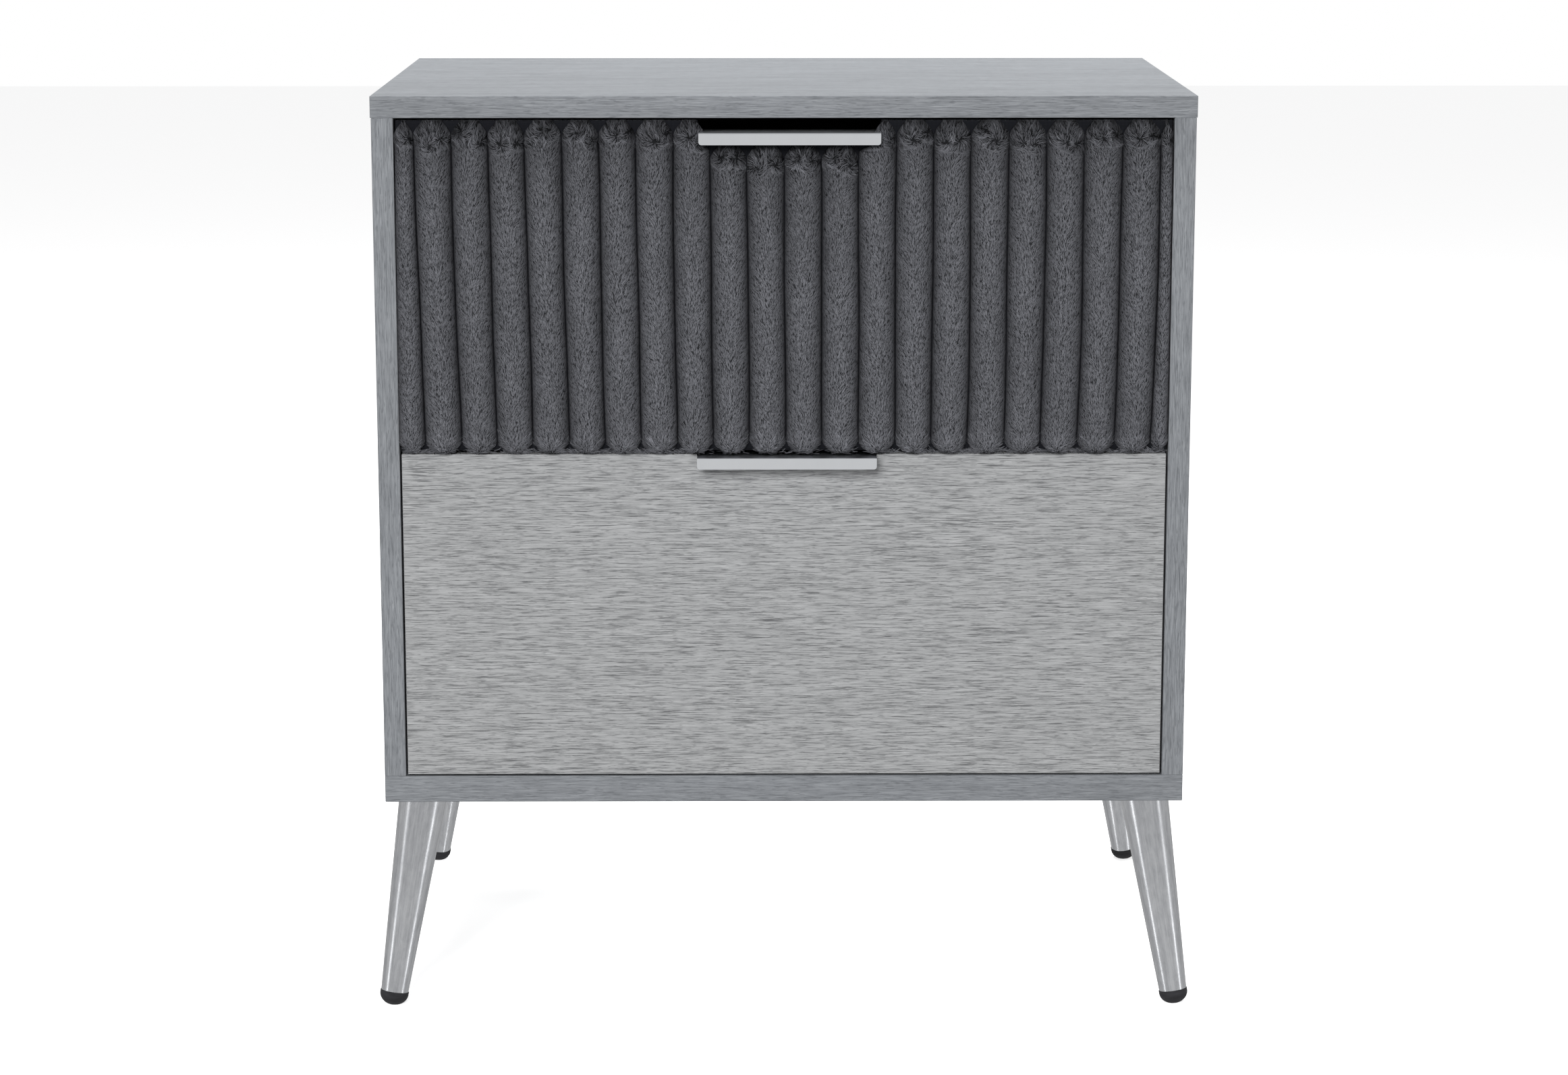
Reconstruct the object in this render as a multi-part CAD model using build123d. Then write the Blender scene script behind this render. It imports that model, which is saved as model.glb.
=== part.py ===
from build123d import *
import math
import os

# Two-drawer nightstand: a board carcass on four splayed tapered steel legs, with inset drawers on
# ball-bearing slides. The upper front is channel-tufted plush, the lower one a laminate board, and both
# have an edge pull along the top.
# Frame: millimetres, +X right, +Y to the rear, +Z up. The origin is on the floor at the middle of the
# object's overall footprint, so the drawers open towards -Y.

# ---- driving dimensions -------------------------------------------------------------------------
CARCASS_WIDTH = 600.0
CARCASS_DEPTH = 400.0
OVERALL_HEIGHT = 688.0
LEG_HEIGHT = 159.0
BOARD = 16.0                 # top and side panels
BASE_BOARD = 20.0            # bottom panel
TOP_OVERHANG = 0.6           # the top panel stands this far past each side panel
EDGE_BREAK = 0.4             # eased arris of every laminated panel
BACK_BOARD = 3.0
GROOVE_SLACK = 0.4
BACK_GROOVE_DEPTH = 6.0
BACK_INSET = 10.0            # rear edge of the carcass to the back panel

FRONT_GAP = 1.5              # around the inset drawer fronts
FRONT_THICKNESS = 16.0
LOWER_FRONT_TOP = 424.4
UPPER_FRONT_BOTTOM = 427.0

PLUSH_SKIN = 2.0             # pile fabric wrapped round the upper front
PLUSH_REACH = 14.0           # channels stand this far in front of the carcass
CHANNEL_PITCH = 26.81
CHANNEL_COUNT = 20           # whole channels, with a part channel at each end
FIRST_SEAM_X = -264.9
CHANNEL_END_ROUND = 5.5

HANDLE_WIDTH = 132.0
HANDLE_REACH = 19.0          # lip in front of the carcass
HANDLE_TAIL = 12.5           # flange behind the carcass front plane
HANDLE_SHEET = 1.6
HANDLE_LIP = 8.5
UPPER_HANDLE_X = 4.0
LOWER_HANDLE_X = 2.0
UPPER_HANDLE_TOP = 662.5
LOWER_HANDLE_TOP = 424.6
HANDLE_SCREW_SPACING = 96.0

SLIDE_LENGTH = 350.0
SLIDE_SETBACK = 18.0
SLIDE_THICKNESS = 12.7
SLIDE_HEIGHT = 35.0
SLIDE_SHEET = 1.2
SLIDE_TRAVEL = 255.0         # each drawer's; the ball cages go half as far
BALL_RADIUS = 1.8
BALLS_PER_ROW = 7
BALL_PITCH = 12.5
CAGE_LENGTH = 90.0
CAGE_START = SLIDE_SETBACK + 2.5 + SLIDE_TRAVEL / 2   # from the carcass front, with the drawer shut

BOX_BOARD = 12.0
BOX_DEPTH = 350.0
BOX_HEIGHT = 190.0
BOX_BOTTOM = 4.0
BOX_BOTTOM_RISE = 10.0
BOX_GROOVE_DEPTH = 6.0
UPPER_BOX_Z = 436.0
LOWER_BOX_Z = 192.0
SLIDE_RISE = 60.0            # box underside to the slide's centre line

FOOT_INSET = 2.2             # foot's centre inside each face of the carcass
LEG_TOP_INSET = 26.6
LEG_TOP_RADIUS = 18.2
LEG_END_RADIUS = 10.4
LEG_WALL = 1.5
FOOT_CAP_HEIGHT = 10.0
FOOT_CAP_RADIUS = 10.8
LEG_PLATE = 48.0
LEG_PLATE_SHEET = 2.5
LEG_SCREW_OFFSET = 18.0

# ---- places worked out from them ----------------------------------------------------------------
FOOT_OVERHANG = FOOT_CAP_RADIUS - FOOT_INSET - (LEG_TOP_INSET - FOOT_INSET) * 8 / LEG_HEIGHT
FRONT = -(CARCASS_DEPTH + FOOT_OVERHANG - HANDLE_REACH) / 2
BACK = FRONT + CARCASS_DEPTH
HALF_WIDTH = CARCASS_WIDTH / 2
INNER_X = HALF_WIDTH - BOARD
SIDE_BOTTOM = LEG_HEIGHT + BASE_BOARD
SIDE_TOP = OVERALL_HEIGHT - BOARD
FRONT_HALF_WIDTH = INNER_X - FRONT_GAP
UPPER_FRONT_TOP = SIDE_TOP - FRONT_GAP
BOX_HALF_WIDTH = INNER_X - SLIDE_THICKNESS
BOX_FRONT = FRONT + FRONT_THICKNESS
SIDES = {"left": -1, "right": 1}
DRAWERS = {"upper": UPPER_BOX_Z, "lower": LOWER_BOX_Z}
LEGS = {
    "front_left": (-1, -1),
    "front_right": (1, -1),
    "rear_left": (-1, 1),
    "rear_right": (1, 1),
}


# ---- small helpers ------------------------------------------------------------------------------
def block(x, y, z):
    """A box from its (low, high) pairs."""
    size = [high - low for low, high in (x, y, z)]
    middle = [(high + low) / 2 for low, high in (x, y, z)]
    return Pos(*middle) * Box(*size)


def rod(start, direction, length, radius):
    """A cylinder from a point along a direction."""
    return Solid.make_cylinder(radius, length, Plane(origin=start, z_dir=direction))


def cone(start, direction, length, start_radius, end_radius):
    return Solid.make_cone(start_radius, end_radius, length, Plane(origin=start, z_dir=direction))


def eased(board):
    """A laminated board with its arrises broken."""
    return chamfer(board.edges(), EDGE_BREAK)


def cut_all(solid, cutters):
    cutters = list(cutters)
    return solid.cut(*cutters) if cutters else solid


def pan_screw(start, direction, length, radius, head_radius, head_height):
    """A screw whose head's underside is at start and whose shank runs along direction."""
    back = Vector(*direction) * -head_height
    head = rod(Vector(*start) + back, direction, head_height, head_radius)
    shank = rod(start, direction, length - 1.5 * radius, radius)
    tip_start = Vector(*start) + Vector(*direction) * (length - 1.5 * radius)
    return head.fuse(shank, cone(tip_start, direction, 1.5 * radius, radius, radius * 0.2))


def flush_screw(start, direction, length, radius, head_radius):
    """A countersunk screw whose head's face is at start."""
    depth = head_radius - radius
    head = cone(start, direction, depth, head_radius, radius)
    shank_start = Vector(*start) + Vector(*direction) * depth
    straight = length - depth - 1.5 * radius
    shank = rod(shank_start, direction, straight, radius)
    tip_start = shank_start + Vector(*direction) * straight
    return head.fuse(shank, cone(tip_start, direction, 1.5 * radius, radius, radius * 0.2))


def flush_hole(start, direction, length, radius, head_radius, slack=0.06):
    """The room that a countersunk screw needs, a little larger all round."""
    depth = head_radius - radius
    above = Vector(*start) - Vector(*direction) * 1.0
    mouth = rod(above, direction, 1.0, head_radius + slack)
    seat = cone(start, direction, depth, head_radius + slack, radius + slack)
    shank_start = Vector(*start) + Vector(*direction) * depth
    shank = rod(shank_start, direction, length - depth + 0.8, radius + slack)
    return mouth.fuse(seat, shank)


# ---- carcass joinery ----------------------------------------------------------------------------
CAM_RADIUS = 7.4
CAM_DEPTH = 12.0
CAM_SETBACK = 24.0           # panel end to the cam's centre
CAM_SLACK = 0.1
BOLT_RADIUS = 2.9
BOLT_HEAD_RADIUS = 3.5
BOLT_THREAD = 10.0
DOWEL_RADIUS = 4.0
DOWEL_IN_PANEL = 10.0
DOWEL_IN_SIDE = 20.0
CAM_YS = (FRONT + 50.0, BACK - 60.0)
DOWEL_YS = (FRONT + 82.0, BACK - 92.0)
BOLT_X = HALF_WIDTH - BOARD / 2


def joint_ends():
    """Each end of each side panel: side sign, its z, and the way out of the panel (+1 up, -1 down)."""
    for sign in SIDES.values():
        yield sign, SIDE_TOP, 1
        yield sign, SIDE_BOTTOM, -1


def cam_lock(sign, y, z_end, out):
    """A zinc cam disc sunk in a side panel's inner face, with a driving cross and the bolt's slot."""
    z = z_end - out * CAM_SETBACK
    face = Vector(sign * INNER_X, y, z)
    disc = rod(face, (sign, 0, 0), CAM_DEPTH, CAM_RADIUS)
    slot_x = sorted((sign * (INNER_X + 2.2), sign * (INNER_X + CAM_DEPTH + 1)))
    slot_z = sorted((z - out * 1.5, z + out * (CAM_RADIUS + 1)))
    slot = block(slot_x, (y - 3.8, y + 3.8), slot_z)
    bars = []
    for half_y, half_z in ((0.7, 4.6), (4.6, 0.7)):
        bar_x = sorted((sign * (INNER_X - 0.5), sign * (INNER_X + 1.4)))
        bars.append(block(bar_x, (y - half_y, y + half_y), (z - half_z, z + half_z)))
    return disc.cut(slot, *bars)


def cam_bolt(sign, y, z_end, out):
    """A connecting bolt: threaded in the outer panel, its head held in the cam."""
    x = sign * BOLT_X
    head_z = z_end - out * CAM_SETBACK
    head = rod((x, y, head_z), (0, 0, out), 2.5, BOLT_HEAD_RADIUS)
    neck = rod((x, y, head_z + out * 2.5), (0, 0, out), 4.5, 1.9)
    shank = rod((x, y, head_z + out * 7.0), (0, 0, out), CAM_SETBACK - 7.0, BOLT_RADIUS)
    thread = rod((x, y, z_end), (0, 0, out), BOLT_THREAD, BOLT_RADIUS)
    return head.fuse(neck, shank, thread)


def dowel(sign, y, z_end, out):
    start = (sign * BOLT_X, y, z_end - out * DOWEL_IN_SIDE)
    return rod(start, (0, 0, out), DOWEL_IN_SIDE + DOWEL_IN_PANEL, DOWEL_RADIUS)


def side_panel_bores(sign):
    """Cam pockets in the face, and bolt and dowel bores in both ends of one side panel."""
    for own_sign, z_end, out in joint_ends():
        if own_sign != sign:
            continue
        for y in CAM_YS:
            z = z_end - out * CAM_SETBACK
            pocket_start = (sign * (INNER_X - 1), y, z)
            yield rod(pocket_start, (sign, 0, 0), CAM_DEPTH + 1.4, CAM_RADIUS + CAM_SLACK)
            yield rod((sign * BOLT_X, y, z), (0, 0, out), CAM_SETBACK + 1, DOWEL_RADIUS)
        for y in DOWEL_YS:
            start = (sign * BOLT_X, y, z_end - out * (DOWEL_IN_SIDE + 1))
            yield rod(start, (0, 0, out), DOWEL_IN_SIDE + 2, DOWEL_RADIUS + CAM_SLACK)


def flat_panel_bores(z_face, out):
    """Bolt and dowel bores in the top panel (out +1) or the bottom panel (out -1)."""
    for sign in SIDES.values():
        for y in CAM_YS:
            start = (sign * BOLT_X, y, z_face - out)
            yield rod(start, (0, 0, out), BOLT_THREAD + 1.5, BOLT_RADIUS + CAM_SLACK)
        for y in DOWEL_YS:
            start = (sign * BOLT_X, y, z_face - out)
            yield rod(start, (0, 0, out), DOWEL_IN_PANEL + 2, DOWEL_RADIUS + CAM_SLACK)


# ---- ball-bearing slides ------------------------------------------------------------------------
# A slide's section is drawn with u from the cabinet wall towards the drawer and v up from its centre
# line. The cabinet member is a lipped channel, the drawer member a plain one turned to face it, and the
# ball cage runs between them.
OUTER_DEPTH = 10.4
OUTER_LIP = 13.6             # half the mouth between the lips
INNER_HALF_HEIGHT = 12.6
INNER_TIP_U = 4.7
CAGE_SHEET = 0.7
CAGE_WEB_U = 3.3
CAGE_EDGE_U = 8.8
CAGE_HALF_HEIGHT = 14.8
BALL_U = 6.2
BALL_V = (SLIDE_HEIGHT / 2 - SLIDE_SHEET + INNER_HALF_HEIGHT) / 2
SLIDE_SCREW_YS = (30.0, 175.0, 320.0)
SLIDE_SCREW_RADIUS = 1.7
SLIDE_SCREW_HEAD = 3.4
SLIDE_SCREW_HEAD_HEIGHT = 1.5
SLIDE_SCREW = (SLIDE_SCREW_RADIUS, SLIDE_SCREW_HEAD, SLIDE_SCREW_HEAD_HEIGHT)
WALL_SCREW_LENGTH = 12.5
BOX_SCREW_LENGTH = 9.5


def slide_holes(x, direction, z, length):
    """Clearance holes for one slide member's screws, drilled along X."""
    for at in SLIDE_SCREW_YS:
        start = (x, FRONT + SLIDE_SETBACK + at, z)
        yield rod(start, (direction, 0, 0), length, SLIDE_SCREW_RADIUS + 0.3)


def slide_block(sign, z, u, v, y):
    """A box in a slide's own section, placed on the left or right wall."""
    x = sorted(sign * (INNER_X - value) for value in u)
    return block(x, y, (z + v[0], z + v[1]))


def channel_bends(solid, length):
    """The long edges of a channel, which its bent sheet rounds."""
    return [edge for edge in solid.edges().filter_by(Axis.Y) if edge.length > length * 0.99]


def slide_outer(sign, z):
    y = (FRONT + SLIDE_SETBACK, FRONT + SLIDE_SETBACK + SLIDE_LENGTH)
    half = SLIDE_HEIGHT / 2
    shell = slide_block(sign, z, (0, OUTER_DEPTH), (-half, half), y)
    shell = fillet(channel_bends(shell, SLIDE_LENGTH), 1.2)
    hollow_z = (SLIDE_SHEET - half, half - SLIDE_SHEET)
    hollow = slide_block(sign, z, (SLIDE_SHEET, OUTER_DEPTH - 0.8), hollow_z, y)
    hollow = fillet(channel_bends(hollow, SLIDE_LENGTH), 0.8)
    mouth = slide_block(sign, z, (OUTER_DEPTH - 2, OUTER_DEPTH + 1), (-OUTER_LIP, OUTER_LIP), y)
    holes = slide_holes(sign * (INNER_X - 3), sign, z, 4)
    return shell.cut(hollow, mouth, *holes)


def slide_inner(sign, z):
    y = (FRONT + SLIDE_SETBACK, FRONT + SLIDE_SETBACK + SLIDE_LENGTH)
    high = INNER_HALF_HEIGHT
    shell = slide_block(sign, z, (INNER_TIP_U, SLIDE_THICKNESS), (-high, high), y)
    web_side = sign * (INNER_X - SLIDE_THICKNESS)
    bends = [e for e in channel_bends(shell, SLIDE_LENGTH) if abs(e.center().X - web_side) < 0.1]
    shell = fillet(bends, 1.4)
    reach = SLIDE_THICKNESS - SLIDE_SHEET
    hollow = slide_block(sign, z, (INNER_TIP_U - 1, reach), (SLIDE_SHEET - high, high - SLIDE_SHEET), y)
    holes = slide_holes(sign * (INNER_X - 8), -sign, z, 6)
    return shell.cut(hollow, *holes)


def ball_cage(sign, z):
    """The bent strip that spaces the balls, with its two rows of balls as solids of their own."""
    y0 = FRONT + CAGE_START
    y = (y0, y0 + CAGE_LENGTH)
    high = CAGE_HALF_HEIGHT
    shell = slide_block(sign, z, (CAGE_WEB_U, CAGE_EDGE_U), (-high, high), y)
    hollow_u = (CAGE_WEB_U + CAGE_SHEET, CAGE_EDGE_U + 1)
    hollow = slide_block(sign, z, hollow_u, (CAGE_SHEET - high, high - CAGE_SHEET), y)
    ball_ys = [
        y0 + CAGE_LENGTH / 2 + (index - (BALLS_PER_ROW - 1) / 2) * BALL_PITCH
        for index in range(BALLS_PER_ROW)
    ]
    ball_x = sign * (INNER_X - BALL_U)
    rows = [(ball_x, ball_y, z + row * BALL_V) for row in (-1, 1) for ball_y in ball_ys]
    pockets = [rod((x, at, v - 2.5), (0, 0, 1), 5, BALL_RADIUS + 0.1) for x, at, v in rows]
    balls = [Pos(*place) * Sphere(BALL_RADIUS) for place in rows]
    return [shell.cut(hollow, *pockets), *balls]


def wall_slide_screws(sign, z):
    for at in SLIDE_SCREW_YS:
        start = (sign * (INNER_X - SLIDE_SHEET), FRONT + SLIDE_SETBACK + at, z)
        yield pan_screw(start, (sign, 0, 0), WALL_SCREW_LENGTH, *SLIDE_SCREW)


def box_slide_screws(sign, z):
    for at in SLIDE_SCREW_YS:
        start = (sign * (BOX_HALF_WIDTH + SLIDE_SHEET), FRONT + SLIDE_SETBACK + at, z)
        yield pan_screw(start, (-sign, 0, 0), BOX_SCREW_LENGTH, *SLIDE_SCREW)


def slide_screw_bores(x_face, direction, z, length):
    """Pilot holes for one slide's screws in the board behind it."""
    for at in SLIDE_SCREW_YS:
        start = (x_face, FRONT + SLIDE_SETBACK + at, z)
        yield rod(start, (direction, 0, 0), length - SLIDE_SHEET + 0.5, SLIDE_SCREW_RADIUS + 0.05)


# ---- carcass ------------------------------------------------------------------------------------
def leg_screw_places():
    for sx, sy in LEGS.values():
        cx, cy = leg_point(sx, sy, LEG_HEIGHT)
        for dx in (-1, 1):
            for dy in (-1, 1):
                yield cx + dx * LEG_SCREW_OFFSET, cy + dy * LEG_SCREW_OFFSET


def back_groove(x, z):
    low = BACK - BACK_INSET - BACK_BOARD - GROOVE_SLACK
    return block(x, (low, BACK - BACK_INSET), z)


def top_panel():
    half = HALF_WIDTH + TOP_OVERHANG
    board = eased(block((-half, half), (FRONT, BACK), (SIDE_TOP, OVERALL_HEIGHT)))
    reach = INNER_X + BACK_GROOVE_DEPTH
    groove = back_groove((-reach, reach), (SIDE_TOP - 1, SIDE_TOP + BACK_GROOVE_DEPTH))
    return cut_all(board, [groove, *flat_panel_bores(SIDE_TOP, 1)])


def bottom_panel():
    board = eased(block((-HALF_WIDTH, HALF_WIDTH), (FRONT, BACK), (LEG_HEIGHT, SIDE_BOTTOM)))
    reach = INNER_X + BACK_GROOVE_DEPTH
    groove = back_groove((-reach, reach), (SIDE_BOTTOM - BACK_GROOVE_DEPTH, SIDE_BOTTOM + 1))
    recesses = [plate_blank(sx, sy, 0.3) for sx, sy in LEGS.values()]
    return cut_all(board, [groove, *flat_panel_bores(SIDE_BOTTOM, -1), *recesses, *leg_screw_holes()])


def side_panel(sign):
    x = sorted((sign * INNER_X, sign * HALF_WIDTH))
    board = eased(block(x, (FRONT, BACK), (SIDE_BOTTOM, SIDE_TOP)))
    groove_x = sorted((sign * (INNER_X - 1), sign * (INNER_X + BACK_GROOVE_DEPTH)))
    groove = back_groove(groove_x, (SIDE_BOTTOM - 1, SIDE_TOP + 1))
    pilots = [
        bore
        for box_z in DRAWERS.values()
        for bore in slide_screw_bores(sign * INNER_X, sign, box_z + SLIDE_RISE, WALL_SCREW_LENGTH)
    ]
    return cut_all(board, [groove, *side_panel_bores(sign), *pilots])


def back_panel():
    reach = BACK_GROOVE_DEPTH - 0.5
    slack = GROOVE_SLACK / 2
    y = (BACK - BACK_INSET - BACK_BOARD - slack, BACK - BACK_INSET - slack)
    return block((-INNER_X - reach, INNER_X + reach), y, (SIDE_BOTTOM - reach, SIDE_TOP + reach))


# ---- legs ---------------------------------------------------------------------------------------
LEG_SCREW_RADIUS = 2.0
LEG_SCREW_HEAD = 3.6
LEG_SCREW_LENGTH = 15.0


def leg_point(sx, sy, z):
    """Where a leg's centre line is at height z. It leans outwards equally in X and Y."""
    share = z / LEG_HEIGHT
    inset = FOOT_INSET + (LEG_TOP_INSET - FOOT_INSET) * share
    x = sx * (HALF_WIDTH - inset)
    y = FRONT + inset if sy < 0 else BACK - inset
    return x, y


def leg_plane(sx, sy):
    """A plane on the floor whose normal runs up the leg's centre line."""
    foot = Vector(*leg_point(sx, sy, 0), 0)
    top = Vector(*leg_point(sx, sy, LEG_HEIGHT), LEG_HEIGHT)
    return Plane(origin=foot, z_dir=top - foot)


def turned(outline, plane):
    """A solid of revolution from (radius, height) points, stood on a plane."""
    face = make_face(Polyline(*[(r, 0, h) for r, h in outline], close=True))
    return plane * revolve(face, Axis.Z)


def leg_radius(height):
    share = (height - FOOT_CAP_HEIGHT) / (LEG_HEIGHT - FOOT_CAP_HEIGHT)
    return LEG_END_RADIUS + (LEG_TOP_RADIUS - LEG_END_RADIUS) * share


def below_board():
    """All the room between the floor and the base board."""
    reach = HALF_WIDTH + 60
    return block((-reach, reach), (FRONT - 60, BACK + 60), (0, LEG_HEIGHT))


def leg_tube(sx, sy):
    low, high = FOOT_CAP_HEIGHT, LEG_HEIGHT + 20
    outline = [
        (leg_radius(low) - LEG_WALL, low),
        (leg_radius(low), low),
        (leg_radius(high), high),
        (leg_radius(high) - LEG_WALL, high),
    ]
    return turned(outline, leg_plane(sx, sy)) & below_board()


def foot_cap(sx, sy):
    """A rubber plug: a stem up the tube and a domed foot, flat where it meets the floor."""
    low, seat = -1.0, FOOT_CAP_HEIGHT
    stem = leg_radius(seat) - LEG_WALL - 0.05
    dome_steps = 7
    dome = [
        (
            FOOT_CAP_RADIUS * math.sin(math.pi / 2 * step / dome_steps),
            seat - 2.0 - (seat - 2.0 - low) * math.cos(math.pi / 2 * step / dome_steps),
        )
        for step in range(1, dome_steps + 1)
    ]
    with BuildLine(Plane.XZ) as line:
        Line((0, low), (0, seat + 11))
        Line((0, seat + 11), (stem - 0.8, seat + 11))
        Line((stem - 0.8, seat + 11), (stem, seat + 9.5))
        Line((stem, seat + 9.5), (stem, seat))
        Line((stem, seat), (FOOT_CAP_RADIUS, seat))
        Line((FOOT_CAP_RADIUS, seat), dome[-1])
        Spline([dome[-1], *reversed(dome[:-1]), (0, low)], tangents=[(0, -1), (-1, 0)])
    face = make_face(line.line)
    return leg_plane(sx, sy) * revolve(face, Axis.Z) & below_board()


def plate_blank(sx, sy, slack):
    """A leg plate's outline, let up into the base board's underside."""
    cx, cy = leg_point(sx, sy, LEG_HEIGHT)
    half = LEG_PLATE / 2 + slack
    low = LEG_HEIGHT - (1 if slack else 0)
    high = LEG_HEIGHT + LEG_PLATE_SHEET + slack / 3
    plate = block((cx - half, cx + half), (cy - half, cy + half), (low, high))
    return fillet(plate.edges().filter_by(Axis.Z), 5 + slack)


def leg_screw_holes():
    for x, y in leg_screw_places():
        yield flush_hole((x, y, LEG_HEIGHT), (0, 0, 1), LEG_SCREW_LENGTH, LEG_SCREW_RADIUS, LEG_SCREW_HEAD)


def leg_plate(sx, sy):
    return plate_blank(sx, sy, 0).cut(*leg_screw_holes())


def leg_plate_screws():
    return [
        flush_screw((x, y, LEG_HEIGHT), (0, 0, 1), LEG_SCREW_LENGTH, LEG_SCREW_RADIUS, LEG_SCREW_HEAD)
        for x, y in leg_screw_places()
    ]


# ---- drawer boxes -------------------------------------------------------------------------------
CONFIRMAT_RADIUS = 2.5
CONFIRMAT_HEAD = 4.5
CONFIRMAT_LENGTH = 40.0
CONFIRMAT_RISES = (22.0, 150.0)
FRONT_SCREW_RADIUS = 2.0
FRONT_SCREW_HEAD = 4.0
FRONT_SCREW_LENGTH = 24.0
FRONT_SCREW_XS = (-205.0, 205.0)
FRONT_SCREW_RISES = (50.0, 145.0)
BOX_END_YS = (BOX_FRONT + BOX_BOARD / 2, BOX_FRONT + BOX_DEPTH - BOX_BOARD / 2)


def confirmat_places(sign, box_z):
    for y in BOX_END_YS:
        for rise in CONFIRMAT_RISES:
            yield (sign * BOX_HALF_WIDTH, y, box_z + rise)


def front_screw_places(box_z):
    for x in FRONT_SCREW_XS:
        for rise in FRONT_SCREW_RISES:
            yield (x, BOX_FRONT + BOX_BOARD, box_z + rise)


def confirmat_bores(sign, box_z):
    for start in confirmat_places(sign, box_z):
        yield flush_hole(start, (-sign, 0, 0), CONFIRMAT_LENGTH, CONFIRMAT_RADIUS, CONFIRMAT_HEAD)


def bottom_groove(x, y, box_z):
    low = box_z + BOX_BOTTOM_RISE
    return block(x, y, (low, low + BOX_BOTTOM + GROOVE_SLACK))


def box_side(sign, box_z):
    inner = BOX_HALF_WIDTH - BOX_BOARD
    board = eased(
        block(
            sorted((sign * inner, sign * BOX_HALF_WIDTH)),
            (BOX_FRONT, BOX_FRONT + BOX_DEPTH),
            (box_z, box_z + BOX_HEIGHT),
        )
    )
    groove_x = sorted((sign * (inner - 1), sign * (inner + BOX_GROOVE_DEPTH)))
    into_ends = BOX_BOARD - BOX_GROOVE_DEPTH
    groove_y = (BOX_FRONT + into_ends, BOX_FRONT + BOX_DEPTH - into_ends)
    pilots = slide_screw_bores(sign * BOX_HALF_WIDTH, -sign, box_z + SLIDE_RISE, BOX_SCREW_LENGTH)
    groove = bottom_groove(groove_x, groove_y, box_z)
    return cut_all(board, [groove, *confirmat_bores(sign, box_z), *pilots])


def box_end(box_z, is_front):
    """The board between the two sides, at the front (behind the drawer front) or at the rear."""
    inner = BOX_HALF_WIDTH - BOX_BOARD
    low = BOX_FRONT if is_front else BOX_FRONT + BOX_DEPTH - BOX_BOARD
    board = eased(block((-inner, inner), (low, low + BOX_BOARD), (box_z, box_z + BOX_HEIGHT)))
    groove_low = low + BOX_BOARD - BOX_GROOVE_DEPTH if is_front else low - 1
    groove = bottom_groove((-inner - 1, inner + 1), (groove_low, groove_low + BOX_GROOVE_DEPTH + 1), box_z)
    cutters = [groove]
    for sign in SIDES.values():
        cutters += confirmat_bores(sign, box_z)
    if is_front:
        for x, y, z in front_screw_places(box_z):
            cutters.append(rod((x, y + 1, z), (0, -1, 0), BOX_BOARD + 2, FRONT_SCREW_RADIUS + 0.3))
    return cut_all(board, cutters)


def box_bottom(box_z):
    reach = BOX_GROOVE_DEPTH - 0.5
    inner = BOX_HALF_WIDTH - BOX_BOARD + reach
    y = (BOX_FRONT + BOX_BOARD - reach, BOX_FRONT + BOX_DEPTH - BOX_BOARD + reach)
    low = box_z + BOX_BOTTOM_RISE + GROOVE_SLACK / 2
    return block((-inner, inner), y, (low, low + BOX_BOTTOM))


def box_screws(box_z):
    return [
        flush_screw(start, (-sign, 0, 0), CONFIRMAT_LENGTH, CONFIRMAT_RADIUS, CONFIRMAT_HEAD)
        for sign in SIDES.values()
        for start in confirmat_places(sign, box_z)
    ]


def front_screws(box_z):
    return [
        pan_screw(start, (0, -1, 0), FRONT_SCREW_LENGTH, FRONT_SCREW_RADIUS, FRONT_SCREW_HEAD, 2.2)
        for start in front_screw_places(box_z)
    ]


def front_screw_bores(box_z):
    for x, _, z in front_screw_places(box_z):
        depth = FRONT_SCREW_LENGTH - BOX_BOARD + 0.6
        yield rod((x, BOX_FRONT + 1, z), (0, -1, 0), depth + 1, FRONT_SCREW_RADIUS + 0.05)


# ---- drawer fronts and handles ------------------------------------------------------------------
HANDLE_SCREW_Y = FRONT + 8.5
HANDLE_SCREW_RADIUS = 1.6
HANDLE_SCREW_HEAD = 2.8
HANDLE_SCREW_LENGTH = 16.0
HANDLE_NOTCH_SIDE = 0.4


def handle(centre_x, top):
    """An edge pull: one bent sheet, with a flange on the front's top edge and a lip down in front."""
    half = HANDLE_WIDTH / 2
    x = (centre_x - half, centre_x + half)
    lip_y = FRONT - HANDLE_REACH
    flange = block(x, (lip_y, FRONT + HANDLE_TAIL), (top - HANDLE_SHEET, top))
    lip = block(x, (lip_y, lip_y + HANDLE_SHEET), (top - HANDLE_LIP, top - HANDLE_SHEET))
    bent = flange.fuse(lip).clean()
    long_edges = bent.edges().filter_by(Axis.X)
    outer = [e for e in long_edges if abs(e.center().Y - lip_y) < 0.01 and abs(e.center().Z - top) < 0.01]
    inner = [
        e
        for e in long_edges
        if abs(e.center().Y - lip_y - HANDLE_SHEET) < 0.01 and abs(e.center().Z - top + HANDLE_SHEET) < 0.01
    ]
    bent = fillet(outer, 1.4)
    inner_edges = [e for e in bent.edges() if any((e.center() - i.center()).length < 0.01 for i in inner)]
    bent = fillet(inner_edges, 0.6)
    corners = [
        e
        for e in bent.edges().filter_by(Axis.Y)
        if abs(e.center().Z - top + HANDLE_LIP) < 0.01 and e.center().Y < lip_y + HANDLE_SHEET
    ]
    bent = fillet(corners, 2.2)
    holes = [
        flush_hole(start, (0, 0, -1), 6, HANDLE_SCREW_RADIUS, HANDLE_SCREW_HEAD)
        for start in handle_screw_starts(centre_x, top)
    ]
    return bent.cut(*holes)


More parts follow.
